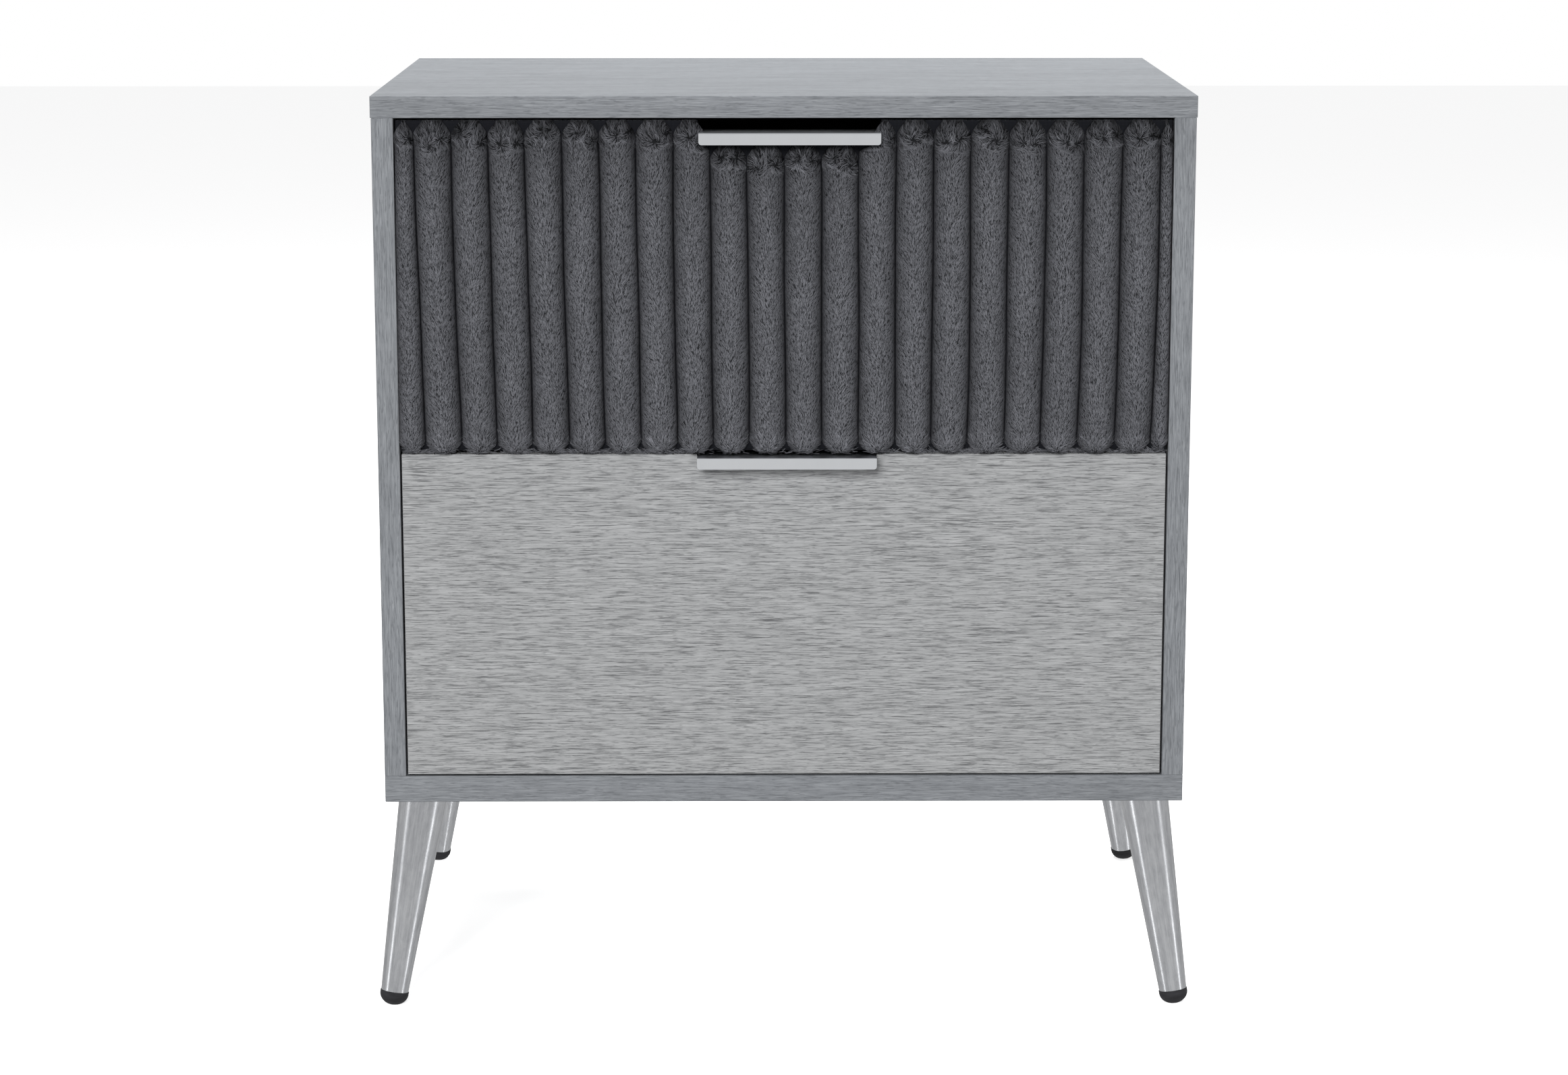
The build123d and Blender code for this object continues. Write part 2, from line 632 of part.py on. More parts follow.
def handle_screw_starts(centre_x, top):
    for dx in (-HANDLE_SCREW_SPACING / 2, HANDLE_SCREW_SPACING / 2):
        yield (centre_x + dx, HANDLE_SCREW_Y, top)


def handle_screws(centre_x, top):
    return [
        flush_screw(start, (0, 0, -1), HANDLE_SCREW_LENGTH, HANDLE_SCREW_RADIUS, HANDLE_SCREW_HEAD)
        for start in handle_screw_starts(centre_x, top)
    ]


def handle_notch(centre_x, top):
    """The rebate in a front's top edge for the flange, with the screws' pilot holes."""
    half = HANDLE_WIDTH / 2 + HANDLE_NOTCH_SIDE
    low = top - HANDLE_SHEET
    rebate = block((centre_x - half, centre_x + half), (FRONT - 30, FRONT + 30), (low, low + 40))
    bores = [
        flush_hole(start, (0, 0, -1), HANDLE_SCREW_LENGTH, HANDLE_SCREW_RADIUS, HANDLE_SCREW_HEAD)
        for start in handle_screw_starts(centre_x, top)
    ]
    return [rebate, *bores]


def lower_front():
    x = (-FRONT_HALF_WIDTH, FRONT_HALF_WIDTH)
    z = (SIDE_BOTTOM + FRONT_GAP, LOWER_FRONT_TOP)
    board = eased(block(x, (FRONT, FRONT + FRONT_THICKNESS), z))
    notch = handle_notch(LOWER_HANDLE_X, LOWER_HANDLE_TOP)
    return cut_all(board, [*notch, *front_screw_bores(LOWER_BOX_Z)])


def upper_front_board():
    """The board inside the plush front, a skin's thickness smaller all round."""
    half = FRONT_HALF_WIDTH - PLUSH_SKIN
    z = (UPPER_FRONT_BOTTOM + PLUSH_SKIN, UPPER_FRONT_TOP - PLUSH_SKIN)
    board = block((-half, half), (FRONT + PLUSH_SKIN, FRONT + FRONT_THICKNESS), z)
    notch = handle_notch(UPPER_HANDLE_X, UPPER_HANDLE_TOP)
    return cut_all(board, [*notch, *front_screw_bores(UPPER_BOX_Z)])


# ---- plush channels -----------------------------------------------------------------------------
CHANNEL_RADIUS = CHANNEL_PITCH / 2 + 0.2
CHANNEL_TOP_AT_HANDLE = UPPER_HANDLE_TOP - HANDLE_LIP - 1.0
PLUSH_NOTCH_SIDE = 1.0
CLEAR = 0.3                  # keeps the trimming prisms off the channel's own round


def channel(centre_x, radius, inset):
    """One half-round channel with rounded ends, inset from the plush's outer surface."""
    reach = PLUSH_REACH - inset
    low, high = UPPER_FRONT_BOTTOM + inset, UPPER_FRONT_TOP - inset
    middle_z = (low + high) / 2
    tube = rod((centre_x, FRONT - reach + radius, low - 5), (0, 0, 1), high - low + 10, radius)
    rounding = CHANNEL_END_ROUND - inset + CLEAR
    depth = reach + PLUSH_SKIN + CLEAR
    front_y = FRONT - reach - CLEAR
    front_plane = Plane(origin=(centre_x, front_y, middle_z), x_dir=(1, 0, 0), z_dir=(0, -1, 0))
    width = 2 * (radius + CLEAR)
    face_prism = extrude(front_plane * RectangleRounded(width, high - low, rounding), amount=-depth)
    side_origin = (centre_x - width / 2, front_y + (depth + 20) / 2, middle_z)
    side_plane = Plane(origin=side_origin, x_dir=(0, 1, 0), z_dir=(1, 0, 0))
    side_prism = extrude(side_plane * RectangleRounded(depth + 20, high - low, rounding), amount=width)
    return tube & face_prism & side_prism


def channel_centres():
    for index in range(-1, CHANNEL_COUNT + 1):
        yield FIRST_SEAM_X + (index + 0.5) * CHANNEL_PITCH


def plush_notch():
    """Room for the handle's flange and lip, and for fingers below it."""
    half = HANDLE_WIDTH / 2 + PLUSH_NOTCH_SIDE
    x = (UPPER_HANDLE_X - half, UPPER_HANDLE_X + half)
    ahead = block(x, (FRONT - 40, FRONT + PLUSH_SKIN), (CHANNEL_TOP_AT_HANDLE, UPPER_FRONT_TOP + 10))
    above = block(x, (FRONT - 40, FRONT + 40), (UPPER_HANDLE_TOP - HANDLE_SHEET, UPPER_FRONT_TOP + 10))
    return ahead.fuse(above)


def channel_fillings():
    """The stuffing of each channel, one solid each."""
    limit = FRONT_HALF_WIDTH - PLUSH_SKIN
    room = block((-limit, limit), (FRONT - 40, FRONT + PLUSH_SKIN), (UPPER_FRONT_BOTTOM, UPPER_FRONT_TOP))
    half = HANDLE_WIDTH / 2 + PLUSH_NOTCH_SIDE + PLUSH_SKIN
    gap_x = (UPPER_HANDLE_X - half, UPPER_HANDLE_X + half)
    gap_z = (CHANNEL_TOP_AT_HANDLE - PLUSH_SKIN, UPPER_FRONT_TOP + 10)
    gap = block(gap_x, (FRONT - 40, FRONT + 40), gap_z)
    fillings = []
    for x in channel_centres():
        filled = (channel(x, CHANNEL_RADIUS - PLUSH_SKIN * 0.6, PLUSH_SKIN) & room) - gap
        fillings += filled.solids()
    return fillings


def plush_cover(fillings):
    """The pile fabric: outer channels and wrapped edges, hollow where the fillings and the board are."""
    z = (UPPER_FRONT_BOTTOM, UPPER_FRONT_TOP)
    limit = FRONT_HALF_WIDTH
    base = block((-limit, limit), (FRONT, FRONT + FRONT_THICKNESS), z)
    room = block((-limit, limit), (FRONT - 40, FRONT + FRONT_THICKNESS), z)
    outside = base.fuse(*[channel(x, CHANNEL_RADIUS, 0) & room for x in channel_centres()])
    half = FRONT_HALF_WIDTH - PLUSH_SKIN
    room_z = (z[0] + PLUSH_SKIN, z[1] - PLUSH_SKIN)
    board_room = block((-half, half), (FRONT + PLUSH_SKIN, FRONT + FRONT_THICKNESS + 1), room_z)
    return outside.cut(board_room, plush_notch(), *fillings)


# ---- writing ------------------------------------------------------------------------------------
def write(name, shape):
    solids = shape if isinstance(shape, list) else [shape]
    flat = [solid for item in solids for solid in item.solids()]
    export_step(Compound(children=flat) if len(flat) > 1 else flat[0], f"parts/{name}.step")


def write_carcass():
    write("top_panel", top_panel())
    write("bottom_panel", bottom_panel())
    write("back_panel", back_panel())
    for side, sign in SIDES.items():
        write(f"{side}_side_panel", side_panel(sign))
    write("cam_locks", [cam_lock(sign, y, z, out) for sign, z, out in joint_ends() for y in CAM_YS])
    write("cam_bolts", [cam_bolt(sign, y, z, out) for sign, z, out in joint_ends() for y in CAM_YS])
    write("wood_dowels", [dowel(sign, y, z, out) for sign, z, out in joint_ends() for y in DOWEL_YS])


def write_legs():
    for name, (sx, sy) in LEGS.items():
        write(f"{name}_leg", leg_tube(sx, sy))
        write(f"{name}_foot_cap", foot_cap(sx, sy))
        write(f"{name}_leg_plate", leg_plate(sx, sy))
    write("leg_plate_screws", leg_plate_screws())


def write_slides():
    screws = []
    for drawer, box_z in DRAWERS.items():
        for side, sign in SIDES.items():
            z = box_z + SLIDE_RISE
            write(f"{drawer}_{side}_slide_cabinet_member", slide_outer(sign, z))
            write(f"{drawer}_{side}_slide_drawer_member", slide_inner(sign, z))
            write(f"{drawer}_{side}_ball_cage", ball_cage(sign, z))
            screws += wall_slide_screws(sign, z)
    write("slide_wall_screws", screws)


def write_drawers():
    for drawer, box_z in DRAWERS.items():
        for side, sign in SIDES.items():
            write(f"{drawer}_drawer_{side}_side", box_side(sign, box_z))
        write(f"{drawer}_drawer_inner_front", box_end(box_z, True))
        write(f"{drawer}_drawer_back", box_end(box_z, False))
        write(f"{drawer}_drawer_bottom", box_bottom(box_z))
        write(f"{drawer}_drawer_box_screws", box_screws(box_z))
        write(f"{drawer}_drawer_front_screws", front_screws(box_z))
        slide_screws = [s for sign in SIDES.values() for s in box_slide_screws(sign, box_z + SLIDE_RISE)]
        write(f"{drawer}_drawer_slide_screws", slide_screws)
    write("lower_drawer_front", lower_front())
    write("lower_handle", handle(LOWER_HANDLE_X, LOWER_HANDLE_TOP))
    write("lower_handle_screws", handle_screws(LOWER_HANDLE_X, LOWER_HANDLE_TOP))
    write("upper_drawer_front_board", upper_front_board())
    write("upper_handle", handle(UPPER_HANDLE_X, UPPER_HANDLE_TOP))
    write("upper_handle_screws", handle_screws(UPPER_HANDLE_X, UPPER_HANDLE_TOP))
    fillings = channel_fillings()
    write("upper_front_channel_padding", fillings)
    write("upper_front_plush_cover", plush_cover(fillings))


def main():
    os.makedirs("parts", exist_ok=True)
    write_carcass()
    write_legs()
    write_slides()
    write_drawers()


main()
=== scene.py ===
"""The look of a two-drawer nightstand: its studio, its materials and its channel-tufted plush front."""
import math

import bpy
import numpy as np
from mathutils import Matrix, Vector


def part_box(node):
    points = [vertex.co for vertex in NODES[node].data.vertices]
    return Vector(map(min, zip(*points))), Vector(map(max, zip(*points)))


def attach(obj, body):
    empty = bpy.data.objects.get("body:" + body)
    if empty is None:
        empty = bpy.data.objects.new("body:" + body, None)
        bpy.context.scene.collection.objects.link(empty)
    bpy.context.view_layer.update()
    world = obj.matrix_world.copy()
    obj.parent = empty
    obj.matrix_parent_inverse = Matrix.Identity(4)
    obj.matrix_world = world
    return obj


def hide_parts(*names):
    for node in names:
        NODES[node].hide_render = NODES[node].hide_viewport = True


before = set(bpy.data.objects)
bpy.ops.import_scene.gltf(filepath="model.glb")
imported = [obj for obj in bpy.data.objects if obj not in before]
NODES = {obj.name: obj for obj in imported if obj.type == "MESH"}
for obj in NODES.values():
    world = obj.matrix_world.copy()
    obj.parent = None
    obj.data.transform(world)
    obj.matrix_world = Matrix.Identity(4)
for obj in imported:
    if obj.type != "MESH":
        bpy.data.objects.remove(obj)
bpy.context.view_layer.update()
MM = 0.001
SEED = 20

# ---- camera, floor and light --------------------------------------------------------------------
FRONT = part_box("top_panel")[0].y / MM          # the carcass front plane, in mm
CAMERA_BACK = 2700.0                           # mm in front of that plane
CAMERA_HEIGHT = 899.3
CAMERA_X = -17.6
CAMERA_PAN = 0.0065                            # radians towards +X
CAMERA_TILT = 0.1966                           # radians downwards
CAMERA_LENS = 85.15
DIFFUSE_ROOM = 0.22            # even light from all around
GLOSSY_ROOM = 0.62             # what the metal reflects
FLOOR_GLOW = 0.7               # keeps the floor's shadows faint
SOFTBOXES = [                  # name, place, what it points at, size, watts
    ("key_softbox", (-0.9, -5.0, 2.4), (0.0, -0.1, 0.35), (1.6, 1.6), 219.0),
    ("fill_softbox", (1.2, -4.8, 0.25), (0.0, -0.1, 0.35), (1.5, 1.5), 50.0),
    ("top_softbox", (0.2, 0.8, 2.5), (0.0, 0.1, 0.6), (2.2, 1.6), 74.0),
]
STRIPS = [                     # name, height of its middle, its own height, watts
    ("low", -1.3, 2.6, 5.2),
    ("high", 0.45, 0.9, 0.7),
]
STRIP_SIDE = 1.96              # how far to the side of the object the strips stand
STRIP_FRONT = -1.0
STRIP_WIDTH = 0.26
FLOOR_REACH = 9.0


def make_camera():
    data = bpy.data.cameras.new("camera")
    data.lens = CAMERA_LENS
    data.sensor_width = 36.0
    data.clip_start = 0.05
    data.clip_end = 60.0
    camera = bpy.data.objects.new("camera", data)
    camera.location = (CAMERA_X * MM, (FRONT - CAMERA_BACK) * MM, CAMERA_HEIGHT * MM)
    camera.rotation_euler = (math.pi / 2 - CAMERA_TILT, 0.0, -CAMERA_PAN)
    bpy.context.scene.collection.objects.link(camera)
    bpy.context.scene.camera = camera


def area_light(name, place, target, size, power):
    data = bpy.data.lights.new(name, "AREA")
    data.shape = "RECTANGLE"
    data.size, data.size_y = size
    data.energy = power
    lamp = bpy.data.objects.new(name, data)
    lamp.location = place
    lamp.rotation_euler = (Vector(target) - Vector(place)).to_track_quat("-Z", "Y").to_euler()
    bpy.context.scene.collection.objects.link(lamp)
    lamp.visible_glossy = False
    return lamp


def make_strips():
    """Tall lamps at both sides that only draw the bright lines along the legs."""
    legs = bpy.data.collections.new("lit_by_strips")
    for name, node in NODES.items():
        if name.endswith("_leg"):
            legs.objects.link(node)
    for side_name, side in (("left", -1), ("right", 1)):
        for part, middle, height, power in STRIPS:
            place, target = (side * STRIP_SIDE, STRIP_FRONT, middle), (0.0, 0.0, middle)
            strip = area_light(f"{side_name}_{part}_strip", place, target, (STRIP_WIDTH, height), power)
            strip.visible_glossy = True
            strip.light_linking.receiver_collection = legs
            strip.light_linking.blocker_collection = legs


def stage_sheet(name, corners, colour, glow):
    """A flat sheet of the studio, which glows evenly."""
    mesh = bpy.data.meshes.new(name)
    mesh.from_pydata(corners, [], [(0, 1, 2, 3)])
    sheet = bpy.data.objects.new(name, mesh)
    bpy.context.scene.collection.objects.link(sheet)
    material = bpy.data.materials.new(name)
    material.use_nodes = True
    shader = material.node_tree.nodes["Principled BSDF"]
    shader.inputs["Base Color"].default_value = (*colour, 1.0)
    shader.inputs["Roughness"].default_value = 0.9
    shader.inputs["Specular IOR Level"].default_value = 0.1
    shader.inputs["Emission Color"].default_value = (1.0, 1.0, 1.0, 1.0)
    shader.inputs["Emission Strength"].default_value = glow
    material.cycles.emission_sampling = "NONE"
    mesh.materials.append(material)
    sheet.visible_diffuse = False
    return sheet


def room_maths(tree, operation, *values):
    node = tree.nodes.new("ShaderNodeMath")
    node.operation = operation
    for socket, value in zip(node.inputs, values):
        if hasattr(value, "is_output"):
            tree.links.new(value, socket)
        else:
            socket.default_value = value
    return node.outputs[0]


def make_studio():
    world = bpy.data.worlds.new("studio")
    world.use_nodes = True
    tree = world.node_tree
    background = tree.nodes["Background"]
    background.inputs["Color"].default_value = (1.0, 1.0, 1.0, 1.0)
    rays = tree.nodes.new("ShaderNodeLightPath").outputs
    direction = tree.nodes.new("ShaderNodeTexCoord")
    split = tree.nodes.new("ShaderNodeSeparateXYZ")
    tree.links.new(direction.outputs["Generated"], split.inputs[0])
    behind = room_maths(tree, "MULTIPLY_ADD", split.outputs["Y"], -0.12, 0.88)
    glossy = room_maths(tree, "MULTIPLY", behind, GLOSSY_ROOM, 0.0)
    total = room_maths(tree, "MULTIPLY", rays["Is Glossy Ray"], glossy, 0.0)
    total = room_maths(tree, "MULTIPLY_ADD", rays["Is Diffuse Ray"], DIFFUSE_ROOM, total)
    total = room_maths(tree, "ADD", rays["Is Camera Ray"], total, 0.0)
    tree.links.new(total, background.inputs["Strength"])
    bpy.context.scene.world = world
    bpy.context.scene.view_settings.view_transform = "Standard"
    for softbox in SOFTBOXES:
        area_light(*softbox)
    make_strips()
    far = FLOOR_REACH
    corners = [(-far, -far, 0), (far, -far, 0), (far, far, 0), (-far, far, 0)]
    floor = stage_sheet("studio_floor", corners, (0.93, 0.93, 0.935), FLOOR_GLOW)
    floor.visible_glossy = False


# ---- material building --------------------------------------------------------------------------
class Graph:
    """A small wrapper that makes a material's nodes and joins them up."""

    def __init__(self, name):
        self.material = bpy.data.materials.new(name)
        self.material.use_nodes = True
        self.tree = self.material.node_tree
        self.shader = self.tree.nodes["Principled BSDF"]

    def node(self, kind, **settings):
        made = self.tree.nodes.new(kind)
        for key, value in settings.items():
            setattr(made, key, value)
        return made

    def join(self, source, target):
        self.tree.links.new(source, target)

    def coords(self, scale, turn=(0.0, 0.0, 0.0)):
        texture = self.node("ShaderNodeTexCoord")
        mapping = self.node("ShaderNodeMapping")
        mapping.inputs["Scale"].default_value = scale
        mapping.inputs["Rotation"].default_value = turn
        self.join(texture.outputs["Object"], mapping.inputs["Vector"])
        return mapping.outputs["Vector"]

    def scaled(self, vector, scale):
        mapping = self.node("ShaderNodeMapping")
        mapping.inputs["Scale"].default_value = scale
        self.join(vector, mapping.inputs["Vector"])
        return mapping.outputs["Vector"]

    def noise(self, vector, scale=1.0, detail=3.0, roughness=0.55, distortion=0.0):
        noise = self.node("ShaderNodeTexNoise")
        noise.inputs["Scale"].default_value = scale
        noise.inputs["Detail"].default_value = detail
        noise.inputs["Roughness"].default_value = roughness
        noise.inputs["Distortion"].default_value = distortion
        self.join(vector, noise.inputs["Vector"])
        return noise.outputs["Fac"]

    def ramp(self, value, stops):
        ramp = self.node("ShaderNodeValToRGB")
        elements = ramp.color_ramp.elements
        while len(elements) < len(stops):
            elements.new(0.5)
        for element, (place, colour) in zip(elements, stops):
            element.position = place
            element.color = (*colour, 1.0) if hasattr(colour, "__len__") else (colour, colour, colour, 1.0)
        self.join(value, ramp.inputs["Fac"])
        return ramp.outputs["Color"]

    def mix(self, a, b, factor, mode="MIX"):
        mix = self.node("ShaderNodeMix", data_type="RGBA", blend_type=mode)
        for socket, value in ((mix.inputs[6], a), (mix.inputs[7], b), (mix.inputs[0], factor)):
            if hasattr(value, "is_output"):
                self.join(value, socket)
            elif hasattr(value, "__len__"):
                socket.default_value = (*value, 1.0)
            else:
                socket.default_value = value
        return mix.outputs[2]

    def maths(self, operation, a, b=0.0):
        maths = self.node("ShaderNodeMath", operation=operation)
        for socket, value in zip(maths.inputs, (a, b)):
            if hasattr(value, "is_output"):
                self.join(value, socket)
            else:
                socket.default_value = value
        return maths.outputs[0]

    def bump(self, height, distance, strength=1.0):
        bump = self.node("ShaderNodeBump")
        bump.inputs["Distance"].default_value = distance
        bump.inputs["Strength"].default_value = strength
        self.join(height, bump.inputs["Height"])
        self.join(bump.outputs["Normal"], self.shader.inputs["Normal"])

    def set(self, **values):
        for key, value in values.items():
            socket = self.shader.inputs[key.replace("_", " ")]
            if hasattr(value, "is_output"):
                self.join(value, socket)
            elif hasattr(value, "__len__"):
                socket.default_value = (*value, 1.0)
            else:
                socket.default_value = value
        return self.material


def srgb(*levels):
    """Scene-linear values of 0 to 255 display levels."""
    out = []
    for level in levels:
        share = level / 255
        out.append(share / 12.92 if share <= 0.04045 else ((share + 0.055) / 1.055) ** 2.4)
    return tuple(out)


GRAIN_ALONG = 60.0           # grain features per metre along the grain
GRAIN_ACROSS = 2000.0
LEG_LEAN = 8.7               # degrees, both sideways and towards the front or rear


def grain_scale(axis, along, across):
    scale = [across, across, across]
    scale["xyz".index(axis)] = along
    return scale


def laminate(name, axis, dark, mid, light, streak, streak_share, cloud=0.1, roughness=0.46):
    """Printed and embossed wood-grain laminate, its grain along one axis."""
    g = Graph(name)
    grain = g.coords(grain_scale(axis, GRAIN_ALONG, GRAIN_ACROSS))
    fine = g.noise(grain, detail=5.0, roughness=0.62, distortion=0.5)
    broad = g.noise(g.coords(grain_scale(axis, 9.0, 60.0)), detail=2.0, distortion=0.6)
    pores = g.noise(g.coords(grain_scale(axis, 150.0, 1100.0)), detail=2.0, roughness=0.4)
    base = g.ramp(fine, [(0.3, dark), (0.52, mid), (0.74, light)])
    toned = g.mix(base, g.ramp(broad, [(0.3, 1 - cloud), (0.7, 1 + cloud * 0.6)]), 1.0, "MULTIPLY")
    lines = g.ramp(fine, [(streak_share - 0.05, 1.0), (streak_share + 0.03, 0.0)])
    holes = g.ramp(pores, [(0.32, 1.0), (0.42, 0.0)])
    marks = g.maths("MAXIMUM", lines, g.maths("MULTIPLY", holes, 0.55))
    colour = g.mix(toned, streak, g.maths("MULTIPLY", marks, 0.8))
    height = g.maths("SUBTRACT", fine, g.maths("MULTIPLY", marks, 0.35))
    g.bump(height, 0.00022, 0.55)
    rough = g.ramp(fine, [(0.2, roughness - 0.08), (0.8, roughness + 0.1)])
    return g.set(Base_Color=colour, Roughness=rough, Specular_IOR_Level=0.35)


def make_materials():
    carcass = (srgb(110, 113, 117), srgb(136, 139, 143), srgb(162, 165, 169), srgb(94, 97, 101), 0.34)
    foil = (srgb(160, 162, 165), srgb(172, 174, 177), srgb(182, 184, 187), srgb(140, 142, 146), 0.3)
    beech = (srgb(190, 150, 105), srgb(205, 168, 122), srgb(215, 180, 135), srgb(170, 128, 86), 0.3)
    made = {
        "carcass_x": laminate("carcass_grain_x", "x", *carcass),
        "carcass_z": laminate("carcass_grain_z", "z", *carcass),
        "front": laminate(
            "front_grain_x", "x", srgb(136, 137, 138), srgb(166, 167, 168), srgb(194, 195, 196),
            srgb(88, 89, 91), 0.42, cloud=0.03,
        ),
        "foil_y": laminate("box_foil_y", "y", *foil),
        "foil_x": laminate("box_foil_x", "x", *foil),
        "beech": laminate("beech_dowel", "z", *beech),
        "hardboard": hardboard("hardboard", srgb(120, 124, 130), srgb(134, 138, 144)),
        "bottom_board": hardboard("drawer_bottom", srgb(170, 172, 174), srgb(184, 186, 188)),
        # near black: partly the board's own dark colour, partly painted shade for the dark void behind the
        # upper handle
        "black_board": hardboard("near_black_board", srgb(22, 22, 24), srgb(34, 34, 37)),
        "chrome": metal("handle_chrome", (0.86, 0.88, 0.905), 0.36, 0.06),
        "screw": metal("zinc_screw", (0.62, 0.63, 0.65), 0.32, 0.12),
        "zinc": metal("zinc_sheet", (0.6, 0.615, 0.635), 0.36, 0.14, speckle=0.05),
        "ball": metal("ball_steel", (0.7, 0.7, 0.71), 0.12, 0.04),
        "rubber": rubber(),
        "backing": backing_cloth(),
        "plush": plush("plush_pile"),
        "roll": roll_cloth(),
    }
    for end, sy in (("front", -1), ("rear", 1)):
        for side, sx in (("left", -1), ("right", 1)):
            made[f"{end}_{side}_leg"] = brushed_steel(f"{end}_{side}_leg_steel", sx, sy)
    return made


def hardboard(name, dark, light):
    """Pressed fibre board: a felted fibre pattern with a slight mottle."""
    g = Graph(name)
    fibre = g.noise(g.coords((900.0, 900.0, 900.0)), detail=4.0, roughness=0.65, distortion=1.5)
    mottle = g.noise(g.coords((24.0, 24.0, 24.0)), detail=3.0)
    base = g.ramp(fibre, [(0.3, dark), (0.7, light)])
    colour = g.mix(base, g.ramp(mottle, [(0.3, 0.9), (0.7, 1.06)]), 1.0, "MULTIPLY")
    g.bump(fibre, 0.0001, 0.5)
    return g.set(Base_Color=colour, Roughness=0.7, Specular_IOR_Level=0.25)


def metal(name, colour, roughness, spread, speckle=0.0):
    """Bare or plated metal, with faint polishing marks and slightly uneven gloss."""
    g = Graph(name)
    marks = g.noise(g.coords((2600.0, 2600.0, 160.0)), detail=3.0, roughness=0.6)
    cloud = g.noise(g.coords((45.0, 45.0, 45.0)), detail=3.0)
    uneven = g.maths("ADD", g.maths("MULTIPLY", marks, 0.4), g.maths("MULTIPLY", cloud, 0.6))
    rough = g.ramp(uneven, [(0.3, roughness - spread * 0.5), (0.7, roughness + spread * 0.5)])
    low = tuple(c * (1 - speckle - 0.03) for c in colour)
    high = tuple(min(1.0, c * (1 + speckle + 0.02)) for c in colour)
    tint = g.ramp(uneven, [(0.3, low), (0.7, high)])
    g.bump(marks, 0.00002, 0.35 + speckle)
    return g.set(Base_Color=tint, Roughness=rough, Metallic=1.0)


def brushed_steel(name, sx, sy):
    """Drawn steel tube with polishing lines along the leg and a mottled, slightly dull plating."""
    g = Graph(name)
    lean = math.radians(LEG_LEAN)
    upright = g.coords((1.0, 1.0, 1.0), turn=(-sy * lean, sx * lean, 0.0))
    lines = g.noise(g.scaled(upright, (900.0, 900.0, 7.0)), detail=4.0, roughness=0.6)
    bands = g.noise(g.scaled(upright, (240.0, 240.0, 5.0)), detail=1.0)
    blotch = g.noise(g.scaled(upright, (260.0, 260.0, 110.0)), detail=4.0, roughness=0.6, distortion=0.4)
    long_marks = g.maths("ADD", g.maths("MULTIPLY", lines, 0.5), g.maths("MULTIPLY", bands, 0.5))
    uneven = g.maths("ADD", g.maths("MULTIPLY", long_marks, 0.7), g.maths("MULTIPLY", blotch, 0.3))
    tint = g.ramp(uneven, [(0.38, (0.46, 0.47, 0.49)), (0.62, (0.67, 0.68, 0.7))])
    rough = g.ramp(uneven, [(0.38, 0.26), (0.62, 0.21)])
    g.bump(lines, 0.00002, 0.12)
    return g.set(Base_Color=tint, Roughness=rough, Metallic=1.0)


def rubber():
    g = Graph("foot_rubber")
    grit = g.noise(g.coords((1500.0, 1500.0, 1500.0)), detail=4.0, roughness=0.7)
    scuff = g.noise(g.coords((70.0, 70.0, 260.0)), detail=3.0)
    colour = g.ramp(scuff, [(0.35, srgb(38, 38, 40)), (0.7, srgb(56, 56, 59))])
    g.bump(grit, 0.0002, 0.5)
    rough = g.ramp(grit, [(0.2, 0.55), (0.8, 0.78)])
    return g.set(Base_Color=colour, Roughness=rough, Specular_IOR_Level=0.35)


def backing_cloth():
    """The black woven ground cloth behind the pile."""
    g = Graph("backing_cloth")
    warp = g.node("ShaderNodeTexWave", wave_type="BANDS", bands_direction="X")
    weft = g.node("ShaderNodeTexWave", wave_type="BANDS", bands_direction="Z")
    for wave in (warp, weft):
        wave.inputs["Scale"].default_value = 320.0
        wave.inputs["Distortion"].default_value = 0.6
        g.join(g.coords((1.0, 1.0, 1.0)), wave.inputs["Vector"])
    weave = g.maths("MULTIPLY", warp.outputs["Fac"], weft.outputs["Fac"])
    colour = g.ramp(weave, [(0.1, srgb(22, 23, 26)), (0.8, srgb(42, 43, 48))])
    g.bump(weave, 0.0003, 0.6)
    return g.set(Base_Color=colour, Roughness=0.95, Specular_IOR_Level=0.1)


PILE_TONES = [(0.0, 0.0), (0.62, 1.0), (1.0, 1.7)]       # how a piece's tone_and_shade value (its own lightness and painted shade) scales its colour


def roll_cloth():
    """The pile's ground, seen only between the tufts, with painted shade from its tone_and_shade attribute:
    darker in the grooves and near the channel's top.
    """
    g = Graph("pile_ground")
    knit = g.noise(g.coords((1500.0, 1500.0, 900.0)), detail=3.0, roughness=0.7)
    tone_and_shade = g.node("ShaderNodeAttribute", attribute_name="tone_and_shade").outputs["Fac"]
    yarn = g.ramp(knit, [(0.35, srgb(34, 34, 36)), (0.7, srgb(58, 59, 62))])
    # painted shade: the ground is darkened in the grooves and under the crown
    colour = g.mix(yarn, g.ramp(tone_and_shade, PILE_TONES), 1.0, "MULTIPLY")
    g.bump(knit, 0.0003, 0.6)
    return g.set(Base_Color=colour, Roughness=0.95, Specular_IOR_Level=0.1)


def plush(name):
    """Pile tufts: darker at the root from painted shade, lighter at the tip, each tuft with its own
    lightness, and painted shade in the grooves and crowns through tone_and_shade.
    """
    g = Graph(name)
    tone_and_shade = g.node("ShaderNodeAttribute", attribute_name="tone_and_shade").outputs["Fac"]
    along = g.node("ShaderNodeAttribute", attribute_name="along").outputs["Fac"]
    patch = g.noise(g.coords((60.0, 60.0, 26.0)), detail=2.0)
    # the dark root colour is painted shade, standing in for the shade the tufts cast on each other
    root, middle, tip = srgb(62, 63, 67), srgb(108, 109, 114), srgb(129, 130, 136)
    length_colour = g.ramp(along, [(0.0, root), (0.5, middle), (1.0, tip)])
    own = g.ramp(tone_and_shade, PILE_TONES)
    broad = g.ramp(patch, [(0.3, 0.92), (0.7, 1.08)])
    colour = g.mix(g.mix(length_colour, own, 1.0, "MULTIPLY"), broad, 1.0, "MULTIPLY")
    return g.set(Base_Color=colour, Roughness=0.8, Specular_IOR_Level=0.2)


